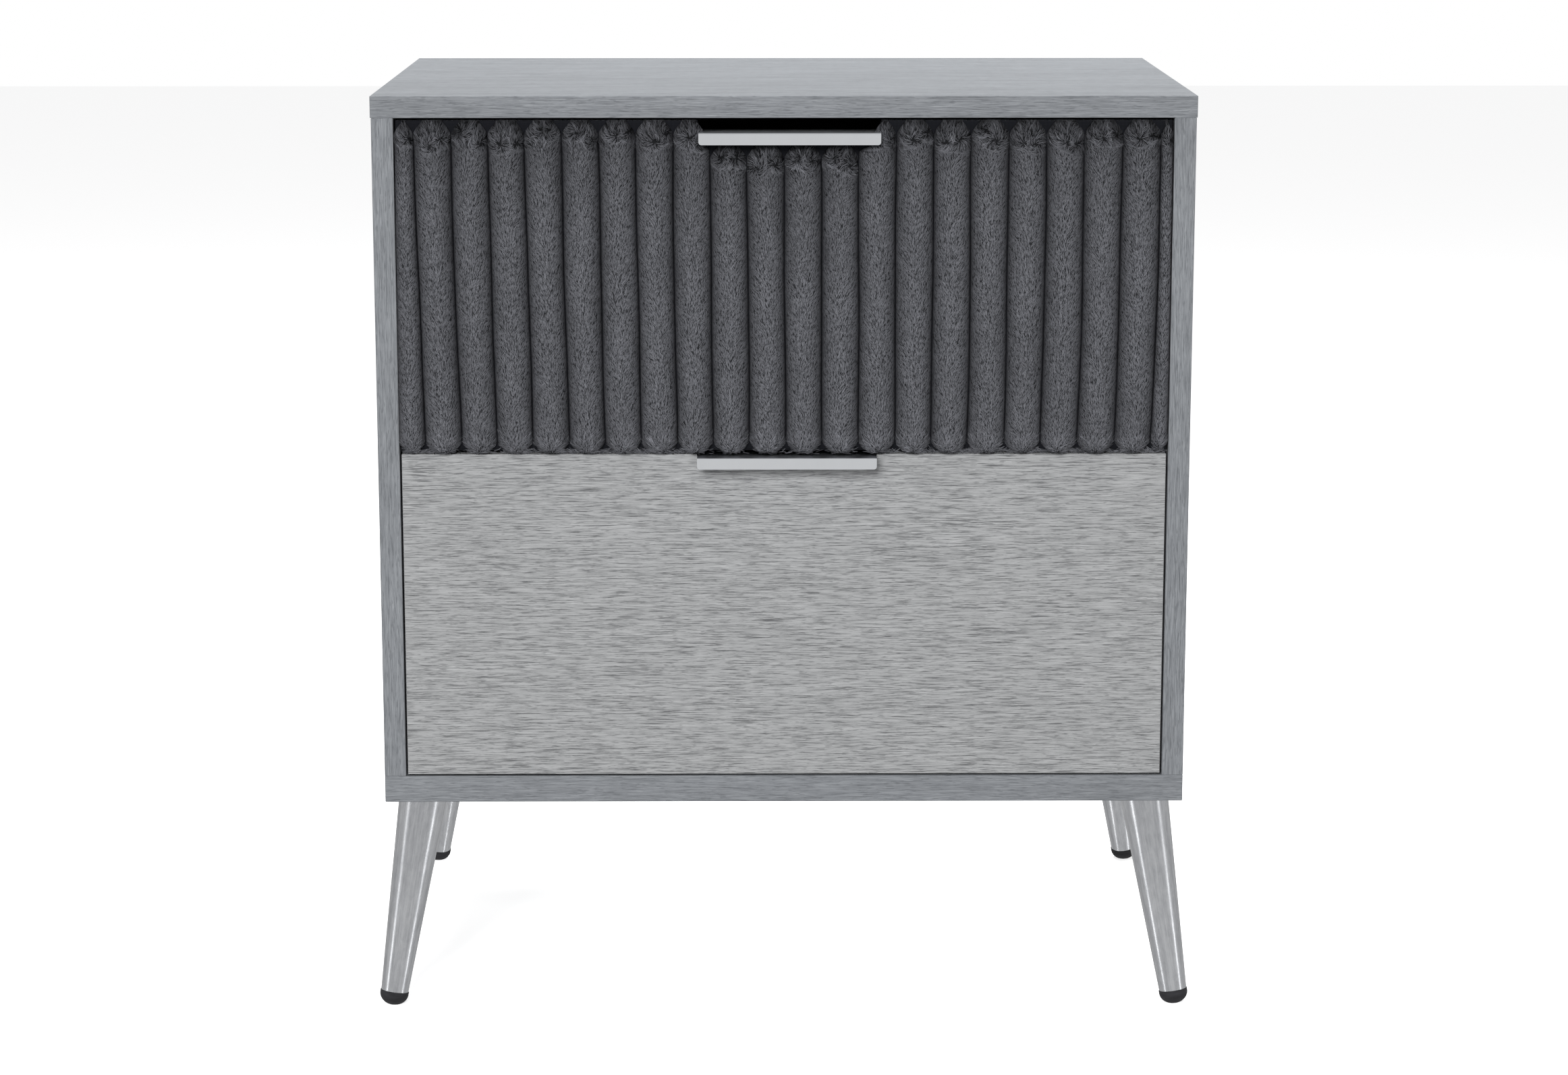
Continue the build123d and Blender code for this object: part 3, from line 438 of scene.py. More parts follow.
def dress(made):
    """Gives every CAD node its material."""
    plan = {
        "top_panel": "carcass_x",
        "bottom_panel": "carcass_x",
        "left_side_panel": "carcass_z",
        "right_side_panel": "carcass_z",
        "back_panel": "hardboard",
        "lower_drawer_front": "front",
        "upper_drawer_front_board": "black_board",
        "cam_locks": "screw",
        "cam_bolts": "screw",
        "wood_dowels": "beech",
    }
    endings = [
        ("_handle_screws", "chrome"),
        ("_handle", "chrome"),
        ("screws", "screw"),
        ("_foot_cap", "rubber"),
        ("_leg_plate", "zinc"),
        ("_member", "zinc"),
        ("_ball_cage", "ball"),
        ("_drawer_bottom", "bottom_board"),
        ("_drawer_back", "foil_x"),
        ("_inner_front", "foil_x"),
        ("_side", "foil_y"),
        ("upper_front_plush_cover", "backing"),
        ("upper_front_channel_padding", "backing"),
    ]
    for name, node in NODES.items():
        key = name if name in made else plan.get(name)
        key = key or next(key for ending, key in endings if name.endswith(ending))
        for index in range(max(1, len(node.material_slots))):
            if node.material_slots:
                node.material_slots[index].material = made[key]
            else:
                node.data.materials.append(made[key])


# ---- plush front: where its channels run ---------------------------------------------------------
COVER_LOW, COVER_HIGH = (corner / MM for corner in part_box("upper_front_plush_cover"))
HANDLE_LOW, HANDLE_HIGH = (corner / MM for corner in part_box("upper_handle"))
SEAM_COUNT = 21
SEAM_PITCH = 26.81
FIRST_SEAM_X = -264.9
ROLL_BOTTOM = COVER_LOW.z - 0.4
ROLL_TOP = COVER_HIGH.z - 0.6
ROLL_TOP_AT_HANDLE = HANDLE_LOW.z - 1.6
ROLL_REACH = 11.8
SEAM_GAP = 1.0
NOTCH_LEFT = HANDLE_LOW.x + 4.0                # the pile closes over the handle's ends
NOTCH_RIGHT = HANDLE_HIGH.x - 4.5
RINGS = 64
SPOKES = 32
STUFFING_FRAMES = 18
STUFFING_LIMIT = 1.4                           # mm that the stuffing may move a point


def drop(z):
    """0 at the top of the plush front, 1 at its bottom."""
    return (ROLL_TOP - z) / (ROLL_TOP - ROLL_BOTTOM)


def seam_x(seam, z):
    """Where a sewn line runs. The panel was sewn by hand, so the lines lean a little."""
    if seam < 0:
        return COVER_LOW.x - 0.6 - 0.9 * drop(z)
    if seam >= SEAM_COUNT:
        return COVER_HIGH.x + 0.3 + 0.5 * drop(z)
    share, fall = seam / (SEAM_COUNT - 1), min(1.0, max(0.0, drop(z)))
    lean = -4.0 + 5.0 * fall**1.5 * (1 - share) ** 1.5 + (6.5 - 4.0 * fall**4) * share**3
    wander = 0.3 * math.sin(seam * 2.1 + z * 0.027) + 0.1 * math.sin(seam * 5.3 + z * 0.061)
    return FIRST_SEAM_X + seam * SEAM_PITCH + lean + wander


def roll_top(index):
    """The top of a channel: those under the handle stop below it."""
    left, right = seam_x(index - 1, 640.0), seam_x(index, 640.0)
    under = left > NOTCH_LEFT - 6 and right < NOTCH_RIGHT + 6
    return ROLL_TOP_AT_HANDLE if under else ROLL_TOP


def roll_sides(index, z):
    """A channel's left and right edge at a height. Beside the handle it narrows to clear the pull."""
    left, right = seam_x(index - 1, z) + SEAM_GAP / 2, seam_x(index, z) - SEAM_GAP / 2
    near = min(1.0, max(0.0, (z - ROLL_TOP_AT_HANDLE + 5) / 7))
    near = near * near * (3 - 2 * near)
    if roll_top(index) == ROLL_TOP:
        if left < NOTCH_LEFT < right:
            right += (NOTCH_LEFT - right) * near
        if left < NOTCH_RIGHT < right:
            left += (NOTCH_RIGHT - left) * near
    return left, right


def outline(index, z):
    """A channel's left and right edge with its two ends drawn in, and how full it is there."""
    left, right = roll_sides(index, z)
    upper = 1 - min(1.0, max(0.0, (roll_top(index) - z) / 9.0))
    lower = 1 - min(1.0, max(0.0, (z - ROLL_BOTTOM) / 7.5))
    half = max(1.0, (right - left) / 2 - 6.2 * upper**1.4 - 6.6 * lower**1.4)
    middle = (left + right) / 2
    fatness = (1 - 0.6 * upper**2.2) * (1 - 0.14 * lower**2)
    return middle - half, middle + half, fatness


def roll_points(index):
    """One channel as rings of points, in mm, from its bottom to its top."""
    top = roll_top(index)
    points = []
    for step in range(RINGS):
        share = step / (RINGS - 1)
        eased = share - 0.11 * math.sin(2 * math.pi * share)
        z = ROLL_BOTTOM + (top - ROLL_BOTTOM) * eased
        left, right, fatness = outline(index, z)
        half, middle = (right - left) / 2, (left + right) / 2
        sag = 0.4 * math.sin(index * 1.7 + z * 0.045) + 0.2 * math.sin(index * 3.1 - z * 0.11)
        reach = (ROLL_REACH + sag) * fatness * min(1.0, (half / 12.0) ** 0.5)
        for spoke in range(SPOKES):
            angle = 2 * math.pi * spoke / SPOKES
            c, s = math.cos(angle), math.sin(angle)
            x = middle + half * math.copysign(abs(c) ** 0.94, c)
            depth = reach * s**0.94 if s > 0 else s * 0.5
            points.append((x, FRONT - depth, z))
    return points


def roll_faces(offset=0):
    faces = []
    for ring in range(RINGS - 1):
        for spoke in range(SPOKES):
            a = offset + ring * SPOKES + spoke
            b = offset + ring * SPOKES + (spoke + 1) % SPOKES
            faces.append((a, a + SPOKES, b + SPOKES, b))
    faces.append(tuple(offset + spoke for spoke in range(SPOKES)))
    faces.append(tuple(offset + (RINGS - 1) * SPOKES + spoke for spoke in reversed(range(SPOKES))))
    return faces


def inflate(rolls):
    """Stuffs all the channels at once: cloth under pressure, held along its back and its sewn sides."""
    points = np.concatenate(rolls)
    faces = [face for index in range(len(rolls)) for face in roll_faces(index * RINGS * SPOKES)]
    mesh = bpy.data.meshes.new("channels")
    mesh.from_pydata((points * MM).tolist(), [], faces)
    piece = bpy.data.objects.new("channels", mesh)
    bpy.context.scene.collection.objects.link(piece)
    held = piece.vertex_groups.new(name="held")
    spokes = np.arange(len(points)) % SPOKES
    back = np.where((spokes == 0) | (spokes >= SPOKES // 2))[0]
    held.add(back.tolist(), 1.0, "REPLACE")
    cloth = piece.modifiers.new("cloth", "CLOTH")
    settings = cloth.settings
    settings.vertex_group_mass = "held"
    settings.quality = 4
    settings.mass = 0.3
    settings.tension_stiffness = 12.0
    settings.compression_stiffness = 6.0
    settings.bending_stiffness = 0.4
    settings.use_pressure = True
    settings.uniform_pressure_force = 5.0
    settings.effector_weights.gravity = 0.0
    cloth.point_cache.frame_start = 1
    cloth.point_cache.frame_end = STUFFING_FRAMES
    for number in range(1, STUFFING_FRAMES + 1):
        bpy.context.scene.frame_set(number)
    settled = piece.evaluated_get(bpy.context.evaluated_depsgraph_get()).to_mesh()
    moved = np.empty(len(points) * 3)
    settled.vertices.foreach_get("co", moved)
    moved = moved.reshape(-1, 3) / MM
    bpy.data.objects.remove(piece)
    bpy.data.meshes.remove(mesh)
    bpy.context.scene.frame_set(1)
    shift = moved - points
    length = np.linalg.norm(shift, axis=1, keepdims=True)
    shift *= np.minimum(1.0, STUFFING_LIMIT / np.maximum(length, 1e-9))
    stuffed = points + shift
    each = RINGS * SPOKES
    return [stuffed[index * each : (index + 1) * each] for index in range(len(rolls))]


def keep_between_seams(index, points):
    """Neighbouring channels press flat against each other along the sewn line."""
    kept = points.copy()
    for row, (x, y, z) in enumerate(points):
        left, right = roll_sides(index, z)
        kept[row, 0] = min(max(x, left), right)
        kept[row, 1] = min(y, FRONT + 0.6)
        kept[row, 2] = min(max(z, ROLL_BOTTOM), roll_top(index) + 0.3)
    return kept


def mesh_piece(name, points, faces, material, body, smooth=True):
    mesh = bpy.data.meshes.new(name)
    mesh.from_pydata((np.asarray(points) * MM).tolist(), [], faces)
    mesh.materials.append(material)
    mesh.polygons.foreach_set("use_smooth", [smooth] * len(mesh.polygons))
    mesh.update()
    piece = bpy.data.objects.new(name, mesh)
    bpy.context.scene.collection.objects.link(piece)
    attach(piece, body)
    return piece


# ---- plush front: the pile -----------------------------------------------------------------------
SHORT_TUFTS_PER_MM2 = 2.8
LONG_TUFTS_PER_MM2 = 0.75
SHORT_RADIUS = 0.25          # of a tuft's root, mm
LONG_RADIUS = 0.3
ROOT_DEPTH = 0.2
CROWN = 24.0                 # how far down from a channel's top the long tufts reach, mm
PILE_BRIGHTNESS = 0.6
HEM_TUFTS_PER_MM = 4.5
WRAP_TUFTS_PER_MM2 = 2.2


def unit(vectors):
    return vectors / np.maximum(np.linalg.norm(vectors, axis=-1, keepdims=True), 1e-9)


def smooth_step(low, high, value):
    share = np.clip((value - low) / (high - low), 0, 1)
    return share * share * (3 - 2 * share)


def surface_samples(points, faces, rng, density):
    """Random places on a channel with their outward normals."""
    triangles = []
    for face in faces:
        for corner in range(1, len(face) - 1):
            triangles.append((face[0], face[corner], face[corner + 1]))
    triangles = np.array(triangles)
    a, b, c = (points[triangles[:, corner]] for corner in range(3))
    cross = np.cross(b - a, c - a)
    area = np.linalg.norm(cross, axis=1) / 2
    vertex_normal = np.zeros_like(points)
    for corner in range(3):
        np.add.at(vertex_normal, triangles[:, corner], cross)
    vertex_normal = unit(vertex_normal)
    count = np.floor(area * density + rng.random(len(area))).astype(int)
    pick = np.repeat(np.arange(len(triangles)), count)
    r1, r2 = np.sqrt(rng.random(len(pick)))[:, None], rng.random(len(pick))[:, None]
    weights = (1 - r1, r1 * (1 - r2), r1 * r2)
    corners = triangles[pick].T
    place = sum(weight * points[corner] for weight, corner in zip(weights, corners))
    normal = unit(sum(weight * vertex_normal[corner] for weight, corner in zip(weights, corners)))
    seen = (normal[:, 1] < 0.15) & (place[:, 1] < FRONT - 0.4)
    return place[seen], normal[seen]


def waves(x, z, phase):
    """Slow wandering values between about -1 and 1, for the way the pile lies."""
    return (
        np.sin(x * 0.21 + z * 0.083 + phase)
        + np.sin(x * 0.11 - z * 0.171 + phase * 2.3)
        + np.sin(z * 0.31 + x * 0.37 + phase * 3.7)
    ) / 3


def lattice(u, v, seed):
    """Smooth random values between 0 and 1, with a knot at every whole number."""
    table = np.random.default_rng(seed).random((128, 128))
    row, column = np.floor(u).astype(int), np.floor(v).astype(int)
    share_u, share_v = smooth_step(0, 1, u - row), smooth_step(0, 1, v - column)
    here, there = row % 128, (row + 1) % 128
    low, high = column % 128, (column + 1) % 128
    below = table[here, low] * (1 - share_u) + table[there, low] * share_u
    above = table[here, high] * (1 - share_u) + table[there, high] * share_u
    return below * (1 - share_v) + above * share_v


def locks(place, lie, size, reach, seed):
    """How full and light the pile is: values about 0 that run in streaks along the way it lies."""
    total = 0
    for step in np.linspace(-reach, reach, 5):
        moved = place + lie * step
        total = total + lattice(moved[:, 0] / size, moved[:, 2] / size, seed)
    return total / 5 - 0.5


class Lie:
    """The way a channel's pile is brushed: up and outwards, with irregular crowns near its top."""

    def __init__(self, index):
        self.index = index
        self.top = roll_top(index)
        self.levels = np.linspace(ROLL_BOTTOM - 1, self.top + 1, 200)
        edges = np.array([outline(index, z)[:2] for z in self.levels])
        self.left, self.right = edges[:, 0], edges[:, 1]
        rng = np.random.default_rng(SEED * 7 + index)
        self.crowns = []
        for number in range(3):
            share = (number + rng.uniform(0.1, 0.9)) / 3
            x = np.interp(self.top, self.levels, self.left) + share * SEAM_PITCH
            z = self.top - rng.uniform(5.0, 17.0)
            self.crowns.append((x, z, rng.uniform(-1.3, 1.3), rng.uniform(4.5, 7.5)))

    def limits(self, z):
        return np.interp(z, self.levels, self.left), np.interp(z, self.levels, self.right)

    def direction(self, place, normal, rng):
        x, z = place[:, 0], place[:, 2]
        left, right = self.limits(z)
        across = 2 * (x - (left + right) / 2) / np.maximum(right - left, 1)
        phase = self.index * 1.9
        fan = 34 + 10 * (smooth_step(70, 25, self.top - z) + smooth_step(40, 10, z - ROLL_BOTTOM))
        angle = np.radians(fan * across + 18 * waves(x, z, phase) + 6 * math.sin(self.index * 4.3))
        angle += rng.normal(0, 0.14, len(x))
        lie_x, lie_z = np.sin(angle), np.cos(angle)
        pull = np.full(len(x), 0.6)
        sum_x, sum_z = lie_x * pull, lie_z * pull
        for crown_x, crown_z, swirl, spread in self.crowns:
            out_x, out_z = x - crown_x, z - crown_z
            away = np.maximum(np.hypot(out_x, out_z), 1e-6)
            weight = np.exp(-((away / spread) ** 2)) * 1.8
            sum_x += weight * (out_x - swirl * out_z) / away
            sum_z += weight * (out_z + swirl * out_x) / away
        near_top = smooth_step(11.0, 3.0, self.top - z)
        sum_x += near_top * 0.7 * across
        sum_z += near_top * 1.2
        lie = np.stack([sum_x, np.zeros_like(sum_x), sum_z], axis=1)
        lie -= normal * np.sum(lie * normal, axis=1, keepdims=True)
        return unit(lie)


def tuft_shape(rings):
    """A closed three-sided tuft with this many rings: its faces, and how far along each point is."""
    faces = [(0, 1, 2)]
    for ring in range(rings - 1):
        for corner in range(3):
            a, b = ring * 3 + corner, ring * 3 + (corner + 1) % 3
            faces.append((b, a, a + 3, b + 3))
    last = rings * 3 - 3
    faces += [(last + (corner + 1) % 3, last + corner, last + 3) for corner in range(3)]
    along = [max(0.45 / rings, ring / rings) for ring in range(rings) for _ in range(3)] + [1.0]
    return faces, along


def tufts(place, normal, lie, lift, length, curl, radius, rings, rng):
    """Tapering tufts that rise, bend over and curl sideways: points and soft normals, by tuft and point."""
    count = len(place)
    sideways = np.cross(normal, lie)
    points = np.empty((count, rings * 3 + 1, 3))
    shades = np.empty_like(points)
    turn = rng.random(count) * 2 * math.pi / 3
    facing = unit(normal * (1.0, 1.0, 0.35))         # light soaks into pile that faces up or down
    radius = (radius * np.clip(rng.normal(1, 0.2, count), 0.6, 1.5))[:, None]
    spine = place - normal * ROOT_DEPTH
    for ring in range(rings):
        share = (ring + 0.5) / rings
        bend = curl * share
        rise = (lift * (1 - 0.75 * share))[:, None]
        ahead = np.cos(bend)[:, None] * lie + np.sin(bend)[:, None] * sideways
        heading = np.sin(rise) * normal + np.cos(rise) * ahead
        beside = unit(np.cross(heading, normal))
        over = np.cross(beside, heading)
        for corner in range(3):
            angle = (turn + corner * 2 * math.pi / 3)[:, None]
            arm = np.cos(angle) * beside + np.sin(angle) * over
            points[:, ring * 3 + corner] = spine + arm * radius * (1 - 0.6 * ring / rings)
            shades[:, ring * 3 + corner] = facing + arm * 0.3
        spine = spine + heading * (length / rings)[:, None]
    points[:, -1] = spine
    shades[:, -1] = facing
    return points, unit(shades)


def short_tufts(lie_map, points, faces, rng):
    """The close, even pile all over a channel."""
    place, normal = surface_samples(points, faces, rng, SHORT_TUFTS_PER_MM2)
    keep = rng.random(len(place)) > 0.55 * smooth_step(CROWN, CROWN - 10, lie_map.top - place[:, 2])
    place, normal = place[keep], normal[keep]
    lie = lie_map.direction(place, normal, rng)
    full = locks(place, lie, 0.6, 1.2, lie_map.index)
    keep = rng.random(len(place)) < 0.95 + 1.2 * full
    place, normal, lie, full = place[keep], normal[keep], lie[keep], full[keep]
    lift = np.radians(np.clip(rng.normal(22, 6, len(place)), 8, 50))
    length = 2.6 * np.clip(rng.normal(1, 0.2, len(place)), 0.5, 1.6)
    curl = rng.normal(0, 0.15, len(place))
    made, shades = tufts(place, normal, lie, lift, length, curl, SHORT_RADIUS, 1, rng)
    return place, made, shades, tuft_shape(1), 0.92 + 0.6 * full


def long_tufts(lie_map, points, faces, rng):
    """The longer curling pile near a channel's top and at its bottom end."""
    place, normal = surface_samples(points, faces, rng, LONG_TUFTS_PER_MM2)
    share = smooth_step(CROWN, CROWN - 12, lie_map.top - place[:, 2])
    share = np.maximum(share, 0.5 * smooth_step(16, 5, place[:, 2] - ROLL_BOTTOM))
    keep = rng.random(len(place)) < share
    place, normal = place[keep], normal[keep]
    lie = lie_map.direction(place, normal, rng)
    full = locks(place, lie, 0.9, 2.2, lie_map.index + 50)
    keep = rng.random(len(place)) < 0.7 + 3.5 * full
    place, normal, lie, full = place[keep], normal[keep], lie[keep], full[keep]
    lift = np.radians(np.clip(rng.normal(30, 8, len(place)), 10, 60))
    length = 4.6 * np.clip(rng.normal(1, 0.2, len(place)), 0.5, 1.7)
    clump = waves(place[:, 0] * 3.1, place[:, 2] * 2.7, lie_map.index * 2.9)
    curl = rng.normal(0, 0.25, len(place)) + 1.1 * clump
    made, shades = tufts(place, normal, lie, lift, length, curl, LONG_RADIUS, 3, rng)
    return place, made, shades, tuft_shape(3), 1.1 + 2.4 * full


def confine(lie_map, made):
    """Keeps the tufts inside their own channel's outline and off the parts around the plush front."""
    left, right = lie_map.limits(made[:, :, 2])
    forward = np.clip((FRONT - made[:, :, 1] - 3.0) / 7.0, 0, 1)
    edge = 0.2 + 0.35 * forward
    made[:, :, 0] = np.clip(made[:, :, 0], left - edge, right + edge)
    ceiling = COVER_HIGH.z + 0.4 if lie_map.top == ROLL_TOP else HANDLE_LOW.z - 0.3
    made[:, :, 2] = np.clip(made[:, :, 2], COVER_LOW.z - 1.4, ceiling)


def pile_piece(name, groups, material, body):
    """One mesh of many tufts, with a tone_and_shade value for each (its own lightness times painted shade),
    a root-to-tip value and a sheet of small UV cells.
    """
    total = sum(len(group[0]) for group in groups)
    cells = math.ceil(math.sqrt(total))
    points, shades, loops, sizes, along, tone_and_shade, uv = [], [], [], [], [], [], []
    first_point = first_tuft = 0
    for made, shade, (faces, reach), tone_and_shade_values in groups:
        count, each = made.shape[:2]
        corners = np.concatenate([np.array(face) for face in faces])
        points.append(made.reshape(-1, 3) * MM)
        shades.append(shade.reshape(-1, 3))
        loops.append((first_point + np.arange(count)[:, None] * each + corners[None, :]).ravel())
        sizes.append(np.tile([len(face) for face in faces], count))
        along.append(np.tile(reach, count))
        tone_and_shade.append(np.repeat(tone_and_shade_values, each))
        number = first_tuft + np.arange(count)[:, None]
        turn = 0.5 + 0.3 * np.cos(corners * 2 * math.pi / 3)
        u = (number % cells + turn[None, :]) / cells
        v = (number // cells + 0.1 + 0.8 * np.array(reach)[corners][None, :]) / cells
        uv.append(np.stack([u.ravel(), v.ravel()], axis=1))
        first_point += count * each
        first_tuft += count
    points, loops, sizes = np.concatenate(points), np.concatenate(loops), np.concatenate(sizes)
    mesh = bpy.data.meshes.new(name)
    mesh.vertices.add(len(points))
    mesh.vertices.foreach_set("co", points.ravel())
    mesh.loops.add(len(loops))
    mesh.loops.foreach_set("vertex_index", loops)
    mesh.polygons.add(len(sizes))
    mesh.polygons.foreach_set("loop_start", np.concatenate([[0], np.cumsum(sizes)[:-1]]))
    mesh.polygons.foreach_set("loop_total", sizes)
    mesh.update(calc_edges=True)
    mesh.polygons.foreach_set("use_smooth", [True] * len(mesh.polygons))
    for key, values in (("along", along), ("tone_and_shade", tone_and_shade)):
        mesh.attributes.new(key, "FLOAT", "POINT").data.foreach_set("value", np.concatenate(values))
    layer = mesh.uv_layers.new(name="OFBake")
    layer.data.foreach_set("uv", np.concatenate(uv).ravel())
    mesh.normals_split_custom_set_from_vertices(np.concatenate(shades))
    mesh.materials.append(material)
    piece = bpy.data.objects.new(name, mesh)
    bpy.context.scene.collection.objects.link(piece)
    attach(piece, body)
    return piece


def painted_pile_shade(place, lie_map, crown_painted_shade):
    """Painted shade: the pile is made darker down in the grooves and in the crown at a channel's top, where
    shade would fall.
    """
    left, right = lie_map.limits(place[:, 2])
    across = np.clip(2 * (place[:, 0] - (left + right) / 2) / (right - left), -1, 1)
    depth = np.sqrt(1 - across**2)
    below = lie_map.top - place[:, 2]
    below = np.maximum(0, below + 2.5 * waves(place[:, 0] * 2.2, place[:, 2] * 1.7, lie_map.index * 0.7))
    crown = 1 - 0.52 * np.exp(-below / 26) - 0.34 * np.exp(-((below / 8.5) ** 2))
    crown *= 1 - crown_painted_shade * np.exp(-below / 18)
    # painted shade: darker towards the seams, where depth falls to 0, and in the crown near the top
    return PILE_BRIGHTNESS * (0.26 + 0.52 * depth + 0.22 * depth**4) * crown


def make_pile(lie_map, points, faces, material):
    rng = np.random.default_rng(SEED + lie_map.index)
    groups = []
    for grow in (short_tufts, long_tufts):
        place, made, shades, shape, tone_and_shade = grow(lie_map, points, faces, rng)
        confine(lie_map, made)
        # each tuft's own lightness times painted shade: darker in the grooves and in the crown
        tone_and_shade = tone_and_shade * rng.normal(1.0, 0.08, len(place)) * painted_pile_shade(place, lie_map, 0.0)
        groups.append((made, shades, shape, tone_and_shade))
    piece = pile_piece(f"plush_pile_{lie_map.index:02d}", groups, material, "upper_drawer")
    piece.visible_shadow = False


def make_hem(material):
    """Longer pile brushed sideways along the bottom edge, behind the channels' round ends."""
    rng = np.random.default_rng(SEED * 3)
    width = COVER_HIGH.x - COVER_LOW.x
    x = COVER_LOW.x + 1 + (width - 2) * rng.random(int(width * HEM_TUFTS_PER_MM))
    pull_low, pull_high = (corner.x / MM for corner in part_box("lower_handle"))
    bare = (x > pull_low - 3) & (x < pull_high + 3) | (lattice(x / 9, x * 0, 5) < 0.3)
    x = x[~bare | (rng.random(len(x)) < 0.12)]
    count = len(x)
    z = COVER_LOW.z - 1.2 + 2.4 * rng.random(count)
    place = np.stack([x, FRONT - rng.uniform(1.5, 8.0, count), z], axis=1)
    normal = unit(np.stack([np.zeros(count), np.full(count, -1.0), np.full(count, -0.35)], axis=1))
    patch = waves(x * 0.4, z, 2.0) + rng.normal(0, 0.35, count)
    lie = unit(np.stack([np.sign(patch), np.zeros(count), rng.normal(0.35, 0.2, count)], axis=1))
    lift = np.radians(np.clip(rng.normal(16, 8, count), 2, 40))
    length = 4.8 * np.clip(rng.normal(1, 0.25, count), 0.5, 1.6)
    made, shades = tufts(place, normal, lie, lift, length, rng.normal(0, 0.4, count), LONG_RADIUS, 3, rng)
    made[:, :, 0] = np.clip(made[:, :, 0], COVER_LOW.x - 0.2, COVER_HIGH.x + 0.2)
    made[:, :, 2] = np.maximum(made[:, :, 2], COVER_LOW.z - 1.6)
    tone_and_shade = rng.normal(0.38, 0.14, count)
    piece = pile_piece("plush_hem_pile", [(made, shades, tuft_shape(3), tone_and_shade)], material, "upper_drawer")
    piece.visible_shadow = False


def make_wrap(material):
    """Short pile brushed back over the cloth's turned top and side edges."""
    rng = np.random.default_rng(SEED * 5)
    low, high, near, far = COVER_LOW, COVER_HIGH, FRONT + 0.8, FRONT + 15.4
    notch_left, notch_right = HANDLE_LOW.x - 1.6, HANDLE_HIGH.x + 1.6
    strips = [
        ((low.x + 0.4, high.z - 0.4), (notch_left, high.z - 0.4), (0, 0, 1)),
        ((notch_right, high.z - 0.4), (high.x - 0.4, high.z - 0.4), (0, 0, 1)),
        ((low.x + 0.2, low.z + 0.4), (low.x + 0.2, high.z - 0.6), (-1, 0, 0)),
        ((high.x - 0.2, low.z + 0.4), (high.x - 0.2, high.z - 0.6), (1, 0, 0)),
    ]
    places, normals = [], []
    for (x0, z0), (x1, z1), facing in strips:
        count = int(math.hypot(x1 - x0, z1 - z0) * (far - near) * WRAP_TUFTS_PER_MM2)
        share = rng.random(count)
        depth = rng.uniform(near, far, count)
        places.append(np.stack([x0 + (x1 - x0) * share, depth, z0 + (z1 - z0) * share], axis=1))
        normals.append(np.tile(np.array(facing, dtype=float), (count, 1)))
    place, normal = np.concatenate(places), np.concatenate(normals)
    count = len(place)
    lie = np.stack([rng.normal(0, 0.3, count), np.ones(count), rng.normal(0, 0.3, count)], axis=1)
    lie = unit(lie - normal * np.sum(lie * normal, axis=1, keepdims=True))
    lift = np.radians(np.clip(rng.normal(14, 4, count), 6, 26))
    length = 2.0 * np.clip(rng.normal(1, 0.2, count), 0.5, 1.4)
    made, shades = tufts(place, normal, lie, lift, length, rng.normal(0, 0.2, count), SHORT_RADIUS, 1, rng)
    made[:, :, 1] = np.clip(made[:, :, 1], FRONT - 1.0, FRONT + 15.7)
    made[:, :, 0] = np.clip(made[:, :, 0], low.x - 0.7, high.x + 0.7)
    # painted shade: this pile is kept darker than the front because it lies in shade on the turned edges;
    # the locks add real streaks
    tone_and_shade = rng.normal(0.3, 0.05, count) * (1 + 1.2 * locks(place, lie, 0.8, 1.4, 9))
    piece = pile_piece("plush_wrap_pile", [(made, shades, tuft_shape(1), tone_and_shade)], material, "upper_drawer")
    piece.visible_shadow = False


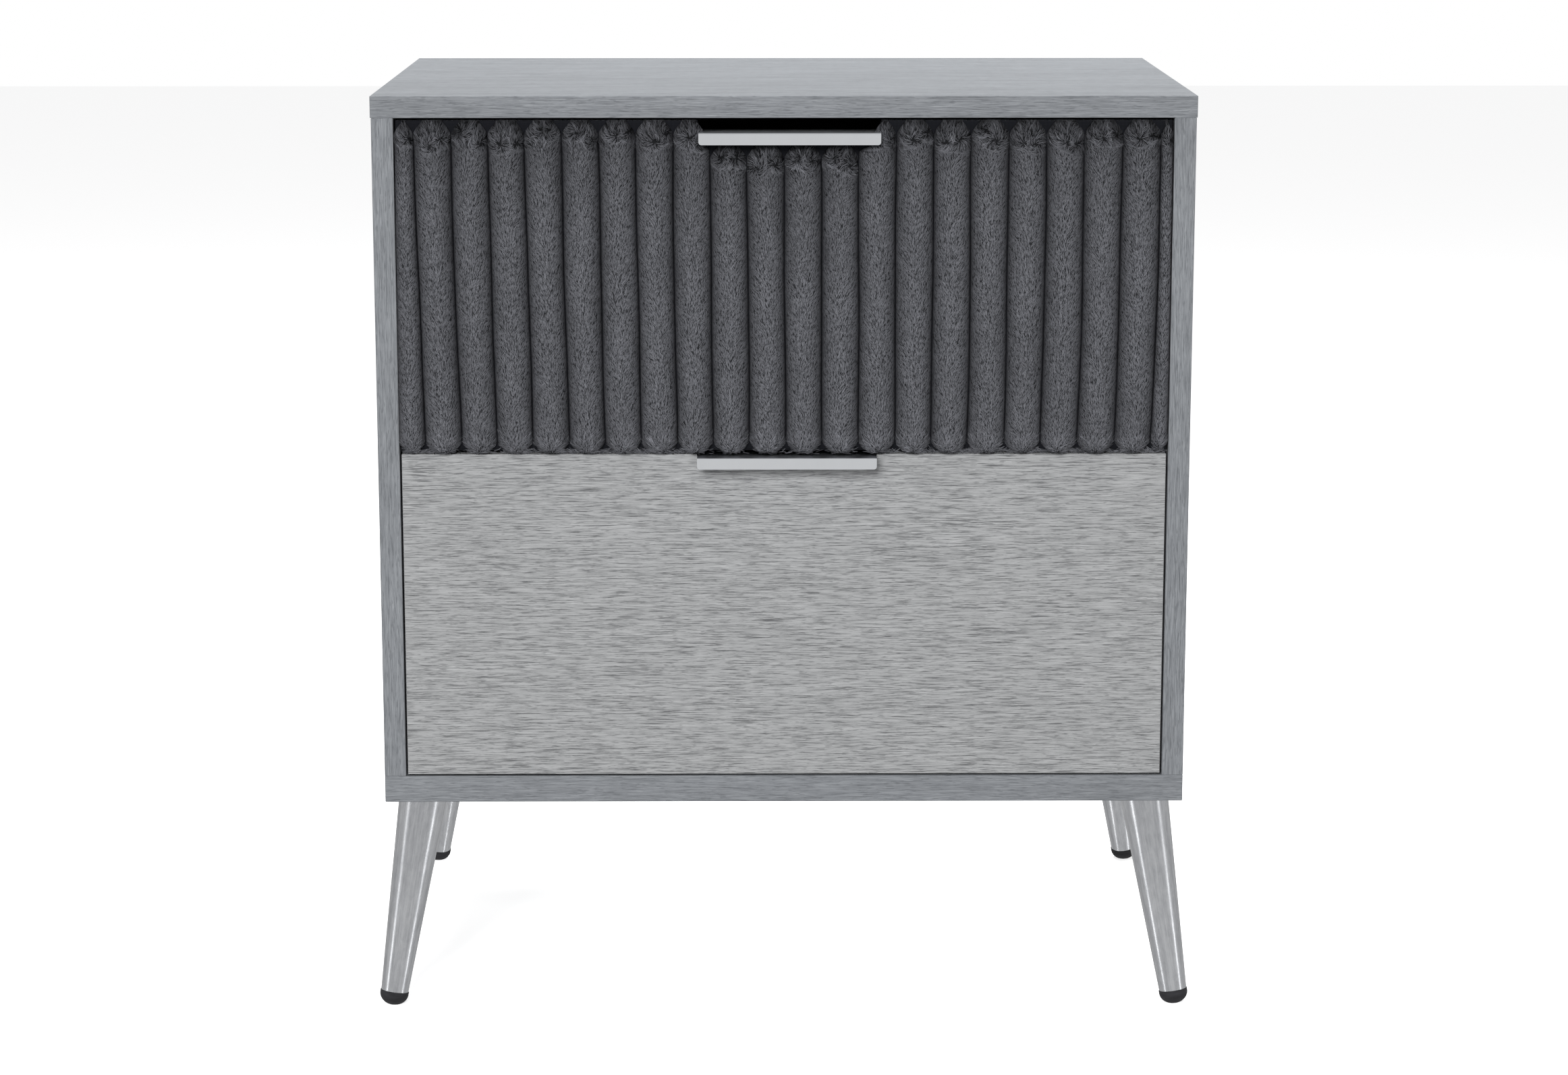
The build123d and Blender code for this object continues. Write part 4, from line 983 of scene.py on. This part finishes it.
def make_backing(made):
    """The ground cloth wrapped over the front board, cut away for the handle's flange."""
    low_z, high_z = COVER_LOW.z + 0.2, COVER_HIGH.z - 0.4
    notch_z = HANDLE_HIGH.z - 1.6
    left, right = COVER_LOW.x + 0.2, COVER_HIGH.x - 0.2
    notch = (HANDLE_LOW.x - 0.9, HANDLE_HIGH.x + 0.9)
    edge = [
        (left, low_z), (right, low_z), (right, high_z), (notch[1], high_z),
        (notch[1], notch_z), (notch[0], notch_z), (notch[0], high_z), (left, high_z),
    ]
    inner = [
        (left + 1.6, low_z + 1.6), (right - 1.6, low_z + 1.6), (right - 1.6, high_z - 1.4),
        (notch[1] + 0.2, high_z - 1.4), (notch[1] + 0.2, notch_z), (notch[0] - 0.2, notch_z),
        (notch[0] - 0.2, high_z - 1.4), (left + 1.6, high_z - 1.4),
    ]
    points, faces = [], []
    rows = [(edge, FRONT + 15.8), (edge, FRONT + 1.0), (inner, FRONT + 0.2)]
    count = len(edge)
    for ring, depth in rows:
        points += [(x, depth, z) for x, z in ring]
    for row in range(len(rows) - 1):
        for corner in range(count):
            a, b = row * count + corner, row * count + (corner + 1) % count
            faces.append((a, b, b + count, a + count))
    faces.append(tuple(2 * count + corner for corner in range(count)))
    piece = mesh_piece("plush_backing", points, faces, made["backing"], "upper_drawer", smooth=False)
    sheet = piece.modifiers.new("cloth_thickness", "SOLIDIFY")
    sheet.thickness = 0.0006
    sheet.offset = -1.0
    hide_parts("upper_front_plush_cover")


def make_plush(made):
    count = SEAM_COUNT + 1
    rolls = [np.array(roll_points(index)) for index in range(count)]
    rolls = inflate(rolls)
    faces = roll_faces()
    for index, points in enumerate(rolls):
        points = keep_between_seams(index, points)
        roll = mesh_piece(f"plush_channel_{index:02d}", points, faces, made["roll"], "upper_drawer")
        tone_and_shade = roll.data.attributes.new("tone_and_shade", "FLOAT", "POINT")
        lie_map = Lie(index)
        # painted shade on the ground cloth: darker in the grooves, and darker still near the top (0.5 extra
        # crown shade)
        tone_and_shade.data.foreach_set("value", painted_pile_shade(points, lie_map, 0.5))
        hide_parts("upper_front_channel_padding")
        make_pile(lie_map, points, faces, made["plush"])
    make_hem(made["plush"])
    make_wrap(made["plush"])
    make_backing(made)


make_camera()
make_studio()
MATERIALS = make_materials()
dress(MATERIALS)
make_plush(MATERIALS)
